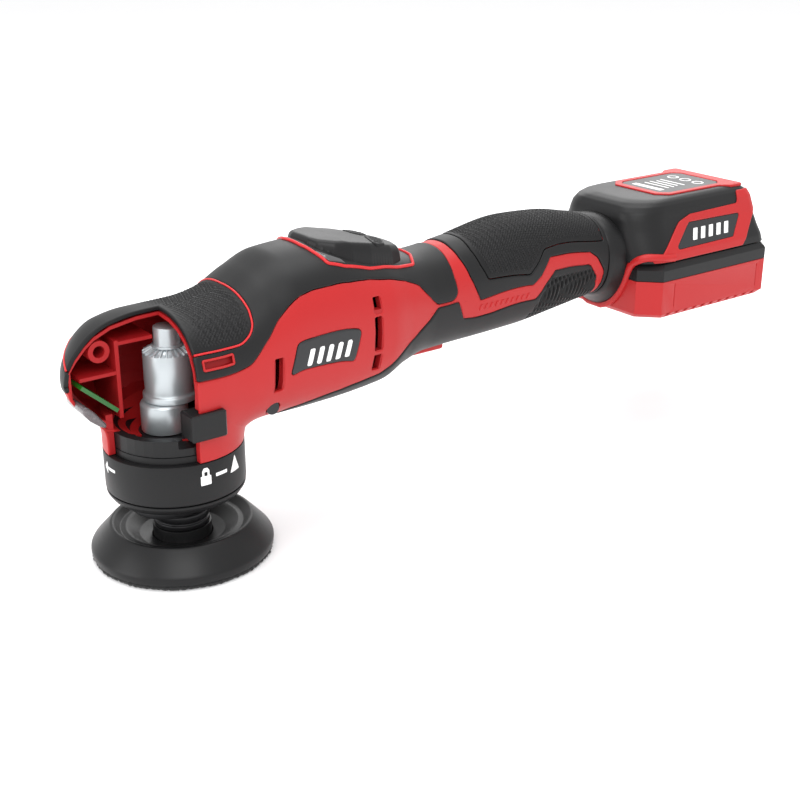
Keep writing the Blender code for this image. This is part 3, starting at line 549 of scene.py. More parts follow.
bodyShape = {
    # station, top, bottom, half width, squareness
    "stations": ((-43.0, 81.1, 80.9, 0.1, 2.0), (-42.6, 82.5, 79.5, 2.2, 2.0), (-41.5, 87.2, 75.4, 7.0, 2.0),
                 (-38.0, 92.6, 70.2, 14.0, 2.1), (-30.0, 99.9, 62.0, 23.6, 2.3), (-23.0, 102.9, 57.6, 27.8, 2.4),
                 (-12.0, 104.7, 53.0, 30.0, 2.4), (8.0, 105.3, 50.9, 29.2, 2.4), (20.0, 107.4, 51.5, 28.5, 2.4),
                 (34.0, 114.8, 53.0, 28.5, 2.4), (46.0, 119.8, 53.0, 28.9, 2.4), (62.0, 120.9, 53.3, 28.9, 2.4),
                 (90.0, 113.6, 55.8, 27.8, 2.4), (103.0, 110.0, 60.5, 24.5, 2.35), (118.0, 107.7, 63.6, 21.2, 2.3),
                 (140.0, 110.4, 63.8, 19.6, 2.25), (172.0, 115.4, 64.7, 19.6, 2.25),
                 (194.0, 114.4, 67.2, 19.4, 2.25), (214.0, 110.8, 69.9, 19.1, 2.25),
                 (232.0, 107.5, 72.0, 19.0, 2.3)),
    "end": 222.2,
    "cut": -3.0,  # the near side of the head is open in front of here
    "neck": 28.0,  # radius of the round neck under the head
    "blend": 5.0,  # how softly the neck grows out of the body
    "blendTop": 84.0,  # the blend fades out up to this height
    "blendRun": 24.0,
    "grid": 0.85,
    "girth": 82.0,  # half the girth at the middle, for the number of columns
}
stationTable = np.array(bodyShape["stations"])


def smoothSlopes(stations, values):
    steps = np.diff(values) / np.diff(stations)
    slopes = np.zeros(len(values))
    same = steps[:-1] * steps[1:] > 0
    slopes[1:-1][same] = 2 * steps[:-1][same] * steps[1:][same] / (steps[:-1] + steps[1:])[same]
    slopes[0], slopes[-1] = steps[0], steps[-1]
    return slopes


def alongTable(table, x):
    stations = table[:, 0]
    i = np.clip(np.searchsorted(stations, x) - 1, 0, len(stations) - 2)
    width = stations[i + 1] - stations[i]
    t = np.clip((x - stations[i]) / width, 0, 1)
    found = []
    for column in range(1, table.shape[1]):
        values = table[:, column]
        slopes = smoothSlopes(stations, values)
        found.append((2 * t**3 - 3 * t**2 + 1) * values[i] + (t**3 - 2 * t**2 + t) * width * slopes[i]
                     + (3 * t**2 - 2 * t**3) * values[i + 1] + (t**3 - t**2) * width * slopes[i + 1])
    return np.array(found)


lineX = np.linspace(stationTable[0, 0], stationTable[-1, 0], 5501)
lineSection = alongTable(stationTable, lineX)
lineStep = np.sqrt(np.diff(lineX) ** 2 + (np.diff(lineSection[:3], axis=1) ** 2).max(axis=0))
lineLength = np.concatenate([[0], np.cumsum(lineStep)])


def lengthAt(x):
    return np.interp(x, lineX, lineLength)


def stationAt(length):
    return np.interp(length, lineLength, lineX)


def sectionAt(x):
    return [np.interp(x, lineX, row) for row in lineSection]


girthRows = np.arange(0, lineLength[-1], 1.0)
girthColumns = 240


def ovalPoint(angle, half, height, square):
    # across and up from the centre of a squared oval; the angle is 0 at its top
    across = half * np.abs(np.sin(angle)) ** (2 / square)
    up = height * np.sign(np.cos(angle)) * np.abs(np.cos(angle)) ** (2 / square)
    return across, up


def girthTables():
    angles = np.linspace(0, math.pi, 721)
    turns, halves = [], []
    for length in girthRows:
        top, bottom, half, square = sectionAt(stationAt(length))
        y, z = ovalPoint(angles, half, (top - bottom) / 2, square)
        run = np.concatenate([[0], np.cumsum(np.hypot(np.diff(y), np.diff(z)))])
        turns.append(np.interp(np.linspace(0, run[-1], girthColumns + 1), run, angles))
        halves.append(run[-1])
    return np.array(turns), np.array(halves)


girthAngles, halfGirths = girthTables()


def wrapAround(u):
    return (u + 1) % 2 - 1  # 0 is the top line, +1 and -1 the bottom line, positive on the cut side


def halfGirth(length):
    return np.interp(length, girthRows, halfGirths)


def bodyPoint(length, u):
    length = np.clip(length, 0, girthRows[-1] - 1e-6)
    turned = wrapAround(u)
    column = np.clip(np.abs(turned), 0, 1 - 1e-9) * girthColumns
    r, c = length.astype(int), column.astype(int)
    fr, fc = length - r, column - c
    angle = ((1 - fr) * ((1 - fc) * girthAngles[r, c] + fc * girthAngles[r, c + 1])
             + fr * ((1 - fc) * girthAngles[r + 1, c] + fc * girthAngles[r + 1, c + 1]))
    x = stationAt(length)
    top, bottom, half, square = sectionAt(x)
    across, up = ovalPoint(angle, half, (top - bottom) / 2, square)
    return np.stack([x, -np.sign(turned) * across, (top + bottom) / 2 + up], axis=1)


def girthAt(x, z):
    # how far down from the top line a point of the side view lies, along the surface
    top, bottom, half, square = sectionAt(x)
    if z >= top:
        return top - z - 0.5
    if z <= bottom:
        return float(halfGirth(lengthAt(x))) + (bottom - z) + 0.5
    level = (z - (top + bottom) / 2) / ((top - bottom) / 2)
    angle = math.acos(math.copysign(abs(level) ** (square / 2), level))
    y, height = ovalPoint(np.linspace(0, angle, 200), half, (top - bottom) / 2, square)
    return float(np.hypot(np.diff(y), np.diff(height)).sum())


def onBody(points, radius=0.0):
    # a side-view outline as (length, girth) on the surface
    return rounded([(float(lengthAt(p[0])), girthAt(p[0], p[1]), *p[2:]) for p in points], radius)


def zoneField(shape):
    return lambda length, u: insideDistance(shape, length, np.abs(wrapAround(u)) * halfGirth(length))


def cutField(length, u):
    # positive where the head isn't cut away
    turned = wrapAround(u)
    seam = np.minimum(np.abs(turned), 1 - np.abs(turned)) * halfGirth(length)
    behind = stationAt(length) - bodyShape["cut"]
    return np.maximum(behind, np.where(turned > 0, -seam, seam))


def blendLift(point, gap):
    # the neck and the body swell near each other, so that they meet in a soft fillet
    blend = bodyShape["blend"]
    fade = np.clip((bodyShape["blendTop"] - point[:, 2]) / bodyShape["blendRun"], 0, 1)
    return fade * fade * (3 - 2 * fade) * np.maximum(blend - gap, 0) ** 2 / (4 * blend)


def neckLift(point):
    return blendLift(point, np.abs(bodyShape["neck"] - np.hypot(point[:, 0], point[:, 1])))


def lengthRange(x0, x1, step):
    start, end = float(lengthAt(x0)), float(lengthAt(x1))
    return np.linspace(start, end, int((end - start) / step) + 2)


def girthRange(u0, u1, step):
    return np.linspace(u0, u1, int((u1 - u0) * bodyShape["girth"] / step) + 2)


def bodySheet(name, field, x0, x1, u0, u1, height, step=bodyShape["grid"], **more):
    return sheetPiece(name, bodyPoint, lengthRange(x0, x1, step), girthRange(u0, u1, step), field, height,
                      sign=bodySign, **more)


testNormal = surfaceFrame(bodyPoint, np.array([100.0]), np.array([0.5]), (0.25, 0.002))[1]
bodySign = 1 if testNormal[0, 1] < 0 else -1  # on the near side the outward normal points to -Y

zones = {
    # side-view outlines, x and z, with the corner radius where it isn't the usual one
    "head": ((-46, 77.2), (-36, 77.2), (-26, 81), (-14, 82.9), (-1.5, 82.9), (13.6, 82.9, 8), (21.2, 84.6, 8),
             (26.2, 89.4), (30.3, 93.7), (34.9, 99.3, 8), (40.1, 103.4, 8), (46.1, 106.6, 8), (52, 107.9),
             (60.3, 108.1), (70.4, 107.8), (81, 106.7), (92.2, 104.6), (100.8, 102), (107.7, 99, 4),
             (115.1, 90.8), (117.8, 88.7),
             (130.6, 88.6), (129.3, 98), (129.1, 103.9), (129.4, 107.5), (130.2, 128), (-46, 128)),
    "frontGrip": ((-46, 89.0), (-36, 90.0), (-20, 92.0), (-1.8, 92.7), (2.5, 92.6), (11.1, 92.5), (18.4, 92.9, 7),
                  (24.4, 97.2, 7), (25.4, 103.5, 6), (24.6, 128), (-46, 128)),
    "slot": ((0.3, 86.7), (13.4, 86.7), (13.4, 90.2), (0.3, 90.2)),
    "handle": ((142.8, 85.6), (154.4, 86.9), (174.1, 87.0), (178.9, 90.4, 3), (184.4, 98.2), (210, 96.4, 3),
               (214.6, 93.3, 3), (219.5, 86.1, 3), (220.3, 74.5), (220.6, 60), (226, 60), (226, 128), (134.8, 128),
               (134.4, 108.2), (135.2, 104.6), (137.9, 96.8)),
    "handleGrip": ((142.5, 106.7), (144.4, 100.8), (147.6, 94.3, 1.5), (171.9, 92.2, 3), (177.1, 97.1, 3),
                   (181.2, 102.2, 4), (190, 103.0), (219.4, 100.0), (219.4, 128), (141.8, 128)),
    "belly": ((40, 40), (118, 40), (179, 40), (217.2, 40), (217.6, 76.4), (215.2, 84.2, 3), (209.9, 90.6, 4),
              (187.4, 91.7, 3), (181.7, 85.5), (177.3, 79.4, 3), (149.8, 78), (141, 77.9), (133.8, 78.9, 2),
              (131.0, 86.0), (129.8, 87.6), (118.2, 87.5, 3), (112.9, 82.9), (106.6, 79.5), (100.6, 76.1),
              (91, 68.6), (85.6, 65.2), (75.6, 63.5), (66.2, 61.8), (56.3, 60.4), (46, 58.4), (40, 57.0)),
    "badge": ((38.6, 75.4), (69.4, 75.4), (72.8, 88.7), (42.0, 88.7)),
}
vents = ((33.4, 70.2, 84.4, 2.3), (81.6, 93.4, 100.2, 2.2), (81.6, 77.3, 92.0, 2.2), (81.6, 68.2, 75.8, 2.2))
cornerRadius = {"head": 5.0, "frontGrip": 3.0, "slot": 0.4, "handle": 1.0, "handleGrip": 1.0, "belly": 5.0,
                "badge": 1.6}
outline = {name: onBody(zones[name], radius) for name, radius in cornerRadius.items()}
outline["screw"] = onBody(circlePoints(33.5, 61.2, 3.1, np.linspace(0, 6.0, 20)))
for number, (x, low, high, half) in enumerate(vents):
    outline[f"vent{number}"] = onBody(((x - half, low), (x + half, low), (x + half, high), (x - half, high)), 0.8)


def zone(name, gap=None):
    # the field inside a zone or, with a gap, at least that far outside it
    inside = zoneField(outline[name])
    return inside if gap is None else lambda length, u: -inside(length, u) - gap


def allOf(*fields):
    # positive only where every field is
    return lambda length, u: np.minimum.reduce([field(length, u) for field in fields])


# the red shell is what no soft cover, vent or badge takes
taken = ("head", "handle", "belly", "badge", "screw", "vent0", "vent1", "vent2", "vent3")
shellField = allOf(cutField, *(zone(name, 0.12) for name in taken))
shell = bodySheet("shell_panel", shellField, -42.9, bodyShape["end"], -1, 1, 0.12, edge=0.35, wall=1.0, wrap=True,
                  lift=neckLift)
place(shell, "red", "housing")
print("shell panel:", len(shell.data.polygons), "faces")

headField = allOf(cutField, zone("head"), zone("frontGrip", 0.25), zone("slot", 0.2))
headCover = bodySheet("head_cover", headField, -42.9, 131.5, -1, 1, 0.55, edge=0.7, wall=1.0, start=0.12)
place(headCover, "rubber", "housing", ("head_grip_left", "head_grip_right"))

knurlShape = {"pitch": 1.5, "row": 2.3, "height": 0.26, "margin": 1.4, "front": -8}


def knurl(a, b, d, point):
    # short slanting dashes in rows, fading out before the zone's edge
    girth = np.abs(wrapAround(b)) * halfGirth(a)
    first = np.cos(2 * math.pi * (a + 0.25 * girth) / knurlShape["pitch"])
    second = np.cos(2 * math.pi * (girth - 0.12 * a) / knurlShape["row"])
    fade = np.clip((point[:, 0] - knurlShape["front"]) / 12, 0, 1)
    fade = knurlShape["height"] * fade * np.clip((d - knurlShape["margin"]) / 1.2, 0, 1)
    return fade * np.clip(first * second * 1.6, -0.6, 1)


frontGrip = bodySheet("front_grip", allOf(cutField, zone("frontGrip")), -42.9, 27, -1, 1, 0.5, step=0.42, edge=0.6,
                      wall=1.0, start=0.25, relief=knurl)
place(frontGrip, "grip", "housing")


def beforeEnd(length, u):
    return lengthAt(bodyShape["end"]) - length


handleField = allOf(zone("handle"), beforeEnd, zone("handleGrip", 0.12))
handleCover = bodySheet("handle_cover", handleField, 133, 224, -1, 1, 0.55, edge=0.6, wall=1.0, start=0.1)
place(handleCover, "rubber", "housing", ("handle_grip_left", "handle_grip_right"))
handleGrip = bodySheet("handle_grip_pad", zone("handleGrip"), 140, 221, -1, 1, 0.5, step=0.42, edge=0.6, wall=1.0,
                       start=0.12, relief=knurl)
place(handleGrip, "grip", "housing")

ribs = {"front": 184.0, "rear": 216.6, "top": 88.6, "pitch": 2.35, "depth": 1.15, "sweep": 0.01575,
        "lean": 0.32, "level": 90.0, "rake": 0.42}


def ribRelief(a, b, d, point):
    # curved grip ribs under the rear of the handle
    x, z = point[:, 0], point[:, 2]
    below = ribs["level"] - z
    phase = (x + ribs["lean"] * below - ribs["sweep"] * below * np.abs(below)) / ribs["pitch"]
    wave = np.clip(0.5 + 1.1 * np.cos(2 * math.pi * phase), 0, 1)
    mask = np.clip((x - ribs["front"] + ribs["rake"] * below) / 1.2, 0, 1) * np.clip((ribs["rear"] - x) / 1.0, 0, 1)
    mask = mask * np.clip((ribs["top"] - z - 0.9 * np.clip(186 - x, 0, 9)) / 1.0, 0, 1)
    return ribs["depth"] * mask * (wave - 1)


belly = bodySheet("belly_cover", zone("belly"), 38, 222, 0.3, 1.7, 0.45, step=0.62, edge=0.6, wall=1.4, start=0.15,
                  relief=ribRelief)
place(belly, "rubber", "housing", ("belly_cover_left", "belly_cover_right"))
print("soft covers made")


# red lines and frames that lie on the body


def bodyPath(points, lift, side=1):
    # (length, girth) points as places on the surface, a little above it
    length = np.array([p[0] for p in points], float)
    u = side * np.array([p[1] for p in points], float) / halfGirth(length)
    point, normal = surfaceFrame(bodyPoint, length, u, (0.25, 0.002))
    return point + normal * bodySign * lift


def denser(points, step=0.8, cyclic=True):
    points = np.array(points, float)
    ends = np.roll(points, -1, axis=0) if cyclic else points[1:]
    found = []
    for p, q in zip(points, ends):
        count = max(1, int(math.hypot(*(q - p)) / step))
        found += [p + (q - p) * k / count for k in range(count)]
    return found if cyclic else found + [points[-1]]


# the front grip's edge, from the top line behind the grip down and forwards
gripLine = [p for p in denser(outline["frontGrip"]) if p[1] >= 0]
start = min(range(len(gripLine)), key=lambda k: gripLine[k][1] + (0 if gripLine[k][0] > 60 else 99))
ordered = gripLine[start:] + gripLine[:start]
if ordered[1][1] < ordered[0][1] or abs(ordered[1][0] - ordered[0][0]) > 8:
    ordered = [ordered[0]] + ordered[:0:-1]
cutLength = float(lengthAt(bodyShape["cut"]))
nearLine = [p for p in ordered if p[0] >= cutLength]
farLine = [p for p in ordered if p[0] >= 6]
beadLift = 0.42
loop = list(bodyPath(farLine[::-1], beadLift, -1)) + list(bodyPath(nearLine, beadLift, 1))
place(tube("grip_bead", loop, 0.42), "redLine", "housing")

slotFrames = [tube(f"slot_frame_{side}", bodyPath(denser(outline["slot"], 0.6), 0.3, side), 0.5, True)
              for side in (1, -1)]
place(join("slot_frames", slotFrames), "red", "housing")


def sideRange(side, low, high):
    # the girth range on one side: 1 is the near side, -1 the far side
    return (low, high) if side > 0 else (-high, -low)


sides = (("left", 1), ("right", -1))
for label, side in sides:
    girths = sideRange(side, 0.2, 0.8)
    badge = bodySheet(f"badge_{label}", zone("badge"), 36, 76, *girths, 0.35, edge=0.45, wall=0.9, start=0.1)
    place(badge, "plate", "housing", (f"side_badge_{label}",))
    shapes = [onBody(slantedBar(45.8 + 4.5 * k, 78.6, 85.6, 2.3, 1.8), 0.2) for k in range(5)]
    bars = [bodySheet(f"badge_bar_{label}_{k}", zoneField(shape), 43, 72, *girths, 0.47, step=0.7, edge=0.08,
                      wall=-0.2) for k, shape in enumerate(shapes)]
    place(join(f"badge_bars_{label}", bars), "print", "housing")

shapes = [onBody(slantedBar(142.4 + 3.1 * k, 80.8, 83.5, 1.5, 0.9), 0.2) for k in range(10)]
embossed = [bodySheet(f"mark_{side}_{k}", zoneField(shape), 140, 177, *sideRange(side, 0.3, 0.9), 0.42, step=0.7,
                      edge=0.2, wall=0.3) for side in (1, -1) for k, shape in enumerate(shapes)]
place(join("handle_marks", embossed), "red", "housing")
print("lines and badges made")


# neck: a round skirt that grows out of the head


def neckPoint(angle, height):
    radius = bodyShape["neck"] + 0.12
    return np.stack([radius * np.cos(angle), radius * np.sin(angle), height], axis=1)


def bodyDepth(point):
    # roughly how far a point is outside the body
    top, bottom, half, square = sectionAt(point[:, 0])
    across = np.abs(point[:, 1]) / half
    up = np.abs(point[:, 2] - (top + bottom) / 2) / ((top - bottom) / 2)
    value = across**square + up**square
    slope = np.hypot(square * across ** (square - 1) / half, square * up ** (square - 1) / ((top - bottom) / 2))
    return (value - 1) / np.maximum(slope, 1e-3)


def neckField(angle, height):
    shape = np.shape(angle)
    point = neckPoint(np.ravel(angle), np.ravel(height))
    outside = bodyDepth(point).reshape(shape) + 1.0
    x, y = point[:, 0].reshape(shape), point[:, 1].reshape(shape)
    kept = np.maximum(x - bodyShape["cut"], y - 0.15)
    return np.minimum(np.minimum(outside, height - 49.2), kept)


def neckSwell(point):
    return blendLift(point, np.abs(bodyDepth(point)))


neck = sheetPiece("neck_skirt", neckPoint, np.linspace(-math.pi, math.pi, 221), np.linspace(46, 76, 42), neckField,
                  0.0, wall=0.9, edge=0.3, wrap=True, reach=(0.01, 0.2), lift=neckSwell)
place(neck, "red", "housing")
print("neck made")


# turned pieces of the spindle, the pad and the collar

orbit = (1.44, 0.42)
turnedPieces = (
    # piece, finish, body, slot, centre, edge rounding, profile of (radius, height)
    ("spindle_shaft_fine", "steel", "spindle", "bright_steel", (0, 0), 0.3,
     ((0, 97.2), (5.0, 97.2), (5.3, 96.9), (5.3, 90.0), (6.2, 90.0), (6.2, 89.0), (3.5, 89.0), (3.5, 47), (0, 47))),
    ("spindle_drum_fine", "steel", "spindle", "bright_steel", (0, 0), 0.3,
     ((9.9, 82.0), (9.9, 70.6), (10.9, 70.2), (10.9, 67.6), (3.8, 67.6), (3.8, 82.0))),
    ("eccentric_hub_fine", "oxide", "spindle", "dark_steel", (0, 0), 0.4,
     ((12.9, 55.0), (14.0, 54.0), (14.0, 51.0), (13.4, 50.6), (13.4, 44.0), (14.0, 43.6), (14.0, 27.3),
      (9.7, 27.3), (9.7, 44.6), (3.8, 44.6), (3.8, 55.0))),
    ("pad_shaft_fine", "oxide", "pad", "dark_steel", orbit, 0.3,
     ((0, 43.8), (4.0, 43.8), (4.0, 34.4), (8.0, 32.4), (8.0, 26.2), (7.4, 25.8), (7.4, 24.8), (8.0, 24.4),
      (8.0, 20.5), (11.4, 18.5), (11.4, 15.9), (10.7, 15.6), (10.7, 14.9), (11.4, 14.6), (11.4, 12.7), (2.5, 12.7),
      (2.5, 19.5), (0, 19.5))),
    ("pad_plate_fine", "black", "pad", "pad_plate", orbit, 0.25,
     ((12.0, 12.4), (12.0, 4.1), (29.8, 4.1), (29.8, 1.9), (4.6, 1.9), (4.6, 4.8), (2.5, 4.8), (2.5, 12.4))),
    ("collar_seat_fine", "black", "housing", "dark_shell", (0, 0), 0.3,
     ((24.9, 51.6), (24.9, 33.0), (20.1, 33.0), (20.1, 51.6))),
    ("lock_collar_fine", "collar", "collar", "dark_shell", (0, 0), 0.35,
     ((28.2, 48.9), (28.2, 32.5), (27.7, 31.9), (25.2, 31.9), (25.2, 48.9))),
    ("collar_skirt_fine", "collar", "housing", "dark_shell", (0, 0), 0.35,
     ((28.0, 31.6), (28.0, 30.7), (26.3, 28.1), (15.2, 28.1), (15.2, 29.6), (21.0, 31.6))),
    ("spindle_bearing_fine", "ground", "housing", "bearing_steel", (0, 0), 0.2,
     ((19.8, 50.6), (19.8, 43.6), (18.6, 43.6), (18.6, 44.1), (15.5, 44.1), (15.5, 43.6), (14.3, 43.6), (14.3, 50.6),
      (15.5, 50.6), (15.5, 50.1), (18.6, 50.1), (18.6, 50.6))),
    ("counterweight_fine", "steel", "spindle", "bright_steel", (-3.74, -1.09), 0.3,
     ((0, 67.4), (8.7, 67.4), (9.4, 66.4), (9.4, 55.6), (0, 55.6))),
    ("lower_weight_fine", "oxide", "spindle", "dark_steel", (-3.1, 2.3), 0.3,
     ((15.0, 27.4), (15.0, 20.4), (9.4, 20.4), (9.4, 26.9))),
    ("gear_sleeve", "steel", "spindle", "bright_steel", (0, 0), 0.2,
     ((9.98, 86.9), (9.98, 71.2), (9.2, 71.2), (9.2, 86.9))),
    ("pad_foam_fine", "pad", "pad", "pad_rubber", orbit, 0.3,
     ((27.2, 13.7), (28.0, 14.3), (28.9, 14.25), (29.6, 13.7), (36.7, 5.9), (37.4, 4.7), (37.4, 3.6), (37.2, 1.8),
      (30.2, 1.8), (30.2, 4.5), (12.4, 4.5), (12.4, 7.6), (17.5, 8.2), (21.5, 11.4), (23.0, 11.9), (25.2, 11.5))),
)
for name, key, body, slot, centre, edge, profile in turnedPieces:
    node = name.removesuffix("_fine")
    piece = latheRing(name, profile, centre, bevel=edge)
    place(piece, key, body, (node,) if node in nodes else ())

hookLayer = latheRing("hook_face_fine", ((36.6, 1.5), (36.8, 0.8), (36.4, 0.0), (5.0, 0.0), (5.0, 1.5)), orbit,
                      steps=240, bevel=0)
for vertex in hookLayer.data.vertices:
    # the fabric's edge is slightly ragged
    x, y = vertex.co.x / mm - orbit[0], vertex.co.y / mm - orbit[1]
    if math.hypot(x, y) > 30:
        angle = math.atan2(y, x)
        swell = 1 + 0.010 * math.sin(37 * angle) * math.sin(23 * angle + 1.3) + 0.008 * math.sin(91 * angle)
        vertex.co.x = (orbit[0] + x * swell) * mm
        vertex.co.y = (orbit[1] + y * swell) * mm
place(hookLayer, "hook", "pad", ("hook_face",))

lensOutline = ((-40.0, 71.6), (-37.6, 68.4), (-34.2, 65.6), (-31.6, 64.2), (-31.0, 65.8), (-36.0, 72.2),
               (-38.8, 74.8), (-40.0, 74.0))
lens = loftRings("led_lens_fine", [[(x, y, z) for x, z in lensOutline] for y in (-8.0, 8.4)], 0.7)
place(lens, "lens", "housing", ("led_lens",))
lamps = ((-37.4, -3.6, 71.4), (-34.4, -3.6, 68.2), (-37.4, 3.6, 71.4), (-34.4, 3.6, 68.2))
cups = [latheRing(f"lamp_{k}", ((0, z), (1.1, z + 0.8), (1.4, z + 0.8), (0.5, z - 0.6), (0, z - 0.6)), (x, y),
                  steps=32, bevel=0.1) for k, (x, y, z) in enumerate(lamps)]
place(join("lamp_cups", cups), "lamp", "housing")
print("turned pieces made")


# white marks on the collar

collarRadius = 28.2


def collarPoint(run, height):
    angle = run / collarRadius
    return np.stack([collarRadius * np.cos(angle), collarRadius * np.sin(angle), height], axis=1)


def collarMark(name, points, hole=None):
    # a thin raised mark, from its outline in degrees round the collar and height
    turns, opening = [shape and np.array([(math.radians(p[0]) * collarRadius, p[1]) for p in shape])
                      for shape in (points, hole)]
    grid = gridOver(turns.min(axis=0) - 0.3, turns.max(axis=0) + 0.3, (26, 26))
    return sheetPiece(name, collarPoint, *grid, outlineField(turns, opening), 0.12, wall=-0.02, edge=0.05,
                      reach=(0.05, 0.05))


marks = (
    collarMark("mark_arrow", ((171, 43.6), (176, 46.4), (176, 44.2), (188, 44.2), (188, 43.0), (176, 43.0),
                              (176, 40.8))),
    collarMark("mark_lock", ((-97, 39.8), (-88, 39.8), (-88, 43.6), (-89.4, 43.6), (-89.4, 45.8), (-91, 47.0),
                             (-94, 47.0), (-95.6, 45.8), (-95.6, 43.6), (-97, 43.6)),
               ((-93.9, 43.6), (-91.1, 43.6), (-91.1, 45.3), (-93.9, 45.3))),
    collarMark("mark_dash", ((-83.5, 42.2), (-72, 42.2), (-72, 43.6), (-83.5, 43.6))),
    collarMark("mark_triangle", ((-68, 40.8), (-55.5, 40.8), (-61.6, 47.6))),
)
place(join("collar_marks", list(marks)), "print", "collar")


# control pod on the hump, with its red trim line and the two ribbed speed keys

podShape = {"edge": 3.4, "dome": 0.004}
podOutline = rounded(mirrored(((58.4, -6.2), (60.2, -12.9), (63.1, -19.2), (70.4, -20.4), (83.3, -19.7),
                               (98.2, -16.7), (110.0, -13.6), (113.4, -7))), 2.0)
podTops = ((56.0, 123.6), (62.0, 123.8), (74.0, 123.0), (87.0, 120.3), (98.0, 117.2), (107.0, 114.2), (115.0, 111.5))
podPlateau = rounded(mirrored(((61.6, -6.0), (63.2, -10.8), (69.0, -15.6), (76.0, -17.6), (86.0, -17.4),
                               (98.0, -15.2), (105.0, -11.5), (107.6, -4))), 4.0, 8)


def bodyTop(x, y):
    top, bottom, half, square = sectionAt(x)
    level = np.maximum(1 - (np.abs(y) / half) ** square, 0.0) ** (1 / square)
    return (top + bottom) / 2 + (top - bottom) / 2 * level + 0.55


def podPoint(x, y):
    # a low skirt out to the trim line, and steep sides up to a nearly flat top
    base = bodyTop(x, y) + 0.15
    top = np.interp(x, *zip(*podTops)) - podShape["dome"] * y * y
    t = np.clip(insideDistance(podPlateau, x, y) / podShape["edge"], 0, 1)
    return np.stack([x, y, base + np.maximum(top - base, 0.1) * np.sqrt(np.maximum(1 - (1 - t) ** 3, 0))], axis=1)


pod = flatSheet("control_pod_fine", podPoint, gridOver((57, -22), (115, 22), (190, 150)), outlineField(podOutline),
                0.1, 1.6, 0.3)
place(pod, "black", "housing", ("control_pod",))
trimPoints = np.array(denser(podOutline))
trim = [(x, y, z + 0.25) for (x, y), z in zip(trimPoints, bodyTop(trimPoints[:, 0], trimPoints[:, 1]))]
place(tube("pod_trim", trim, 0.75, True), "redLine", "housing")

wedge = np.array(((60.9, -12.6), (62.6, -16.6), (64.6, -18.6), (71.5, -19.2), (70.4, -17.6), (65.6, -15.6)))
lensPiece = flatSheet("pod_lens_fine", podPoint, gridOver((60, -20), (73, -11), (60, 44)), outlineField(wedge), 0.45,
                      0.3, 0.4)
place(lensPiece, "gloss", "housing", ("pod_lens",))


def keyRelief(a, b, d, point):
    return 0.22 * np.clip((d - 0.8) / 0.5, 0, 1) * np.cos(2 * math.pi * (b + 0.3 * a) / 2.4)


keyOutlines = (
    # body, outline on the pod's top
    ("key_front", ((88.5, 8.6), (95.0, 10.2), (97.4, 6.0), (96.6, 1.4), (91.5, -1.4), (88.6, 1.0))),
    ("key_rear", ((91.6, -3.4), (97.6, -3.0), (98.2, -8.4), (94.6, -14.2), (87.6, -16.2), (89.4, -9.6))),
)
for body, points in keyOutlines:
    node = f"speed_{body}"
    shape = rounded(points, 1.4)
    grid = gridOver(shape.min(axis=0) - 0.5, shape.max(axis=0) + 0.5, (60, 60))
    key = flatSheet(node + "_fine", podPoint, grid, outlineField(shape), 0.6, -0.15, 0.6, relief=keyRelief)
    place(key, "grip", body, (node,))
print("control pod made")


# dock at the rear: a smooth foot, with red frames, plates and the red lip round the front of the pack

dockShape = {
    # height, front, rear, half width of the plan at that height
    "levels": ((88.4, 232.0, 319.7, 34.1), (92.0, 231.6, 318.7, 33.6), (97.0, 231.4, 317.4, 31.4),
               (103.0, 231.4, 316.4, 28.9), (108.0, 231.6, 315.6, 27.5), (111.0, 232.4, 315.0, 26.8),
               (113.6, 234.2, 313.8, 25.4), (115.0, 236.4, 312.2, 23.9), (115.7, 238.8, 310.4, 22.2)),
    "front": (18.0, 14.0),  # the front corners' reach along and across
    "rear": 6.0,
    "wall": 2.0,
}


def dockPlan(z):
    levels = np.array(dockShape["levels"])
    return [np.interp(z, levels[:, 0], levels[:, k]) for k in (1, 2, 3)]


def dockHalf(x, z):
    # half the width at a place along the dock
    front, rear, half = dockPlan(z)
    reachX, reachY = dockShape["front"]
    corner = dockShape["rear"]
    a = np.clip((front + reachX - x) / reachX, 0, 1)
    b = np.clip((x - rear + corner) / corner, 0, 1)
    return half - reachY * (1 - np.sqrt(1 - a * a)) - corner * (1 - np.sqrt(1 - b * b))


def dockRing(z, inset=0.0):
    front, rear, half = (float(v) for v in dockPlan(z))
    front, rear, half = front + inset, rear - inset, half - inset
    reachX, reachY = dockShape["front"]
    corner = dockShape["rear"]
    near = [(front + reachX * (1 - math.sin(t)), -(half - reachY * (1 - math.cos(t))))
            for t in np.linspace(math.pi / 2, 0, 26)]
    near += [(x, -half) for x in np.linspace(front + reachX, rear - corner, 22)[1:-1]]
    near += [(rear - corner * (1 - math.sin(t)), -(half - corner * (1 - math.cos(t))))
             for t in np.linspace(0, math.pi / 2, 12)]
    return [(x, y, z) for x, y in mirrored(near)]


outerRings = [dockRing(z) for z in np.concatenate([np.linspace(88.4, 112, 26), np.linspace(112.4, 115.7, 10)])]
topRings = [[(p[0], p[1], 115.7 + lift) for p in dockRing(115.7, inset)]
            for inset, lift in ((0.8, 0.22), (1.8, 0.36), (3.5, 0.4))]
innerRings = [dockRing(z, dockShape["wall"]) for z in (112.6, 108, 103, 97, 92, 88.4)]
dock = loftRings("battery_dock_fine", innerRings + outerRings + topRings)
place(dock, "black", "housing", ("battery_dock",))

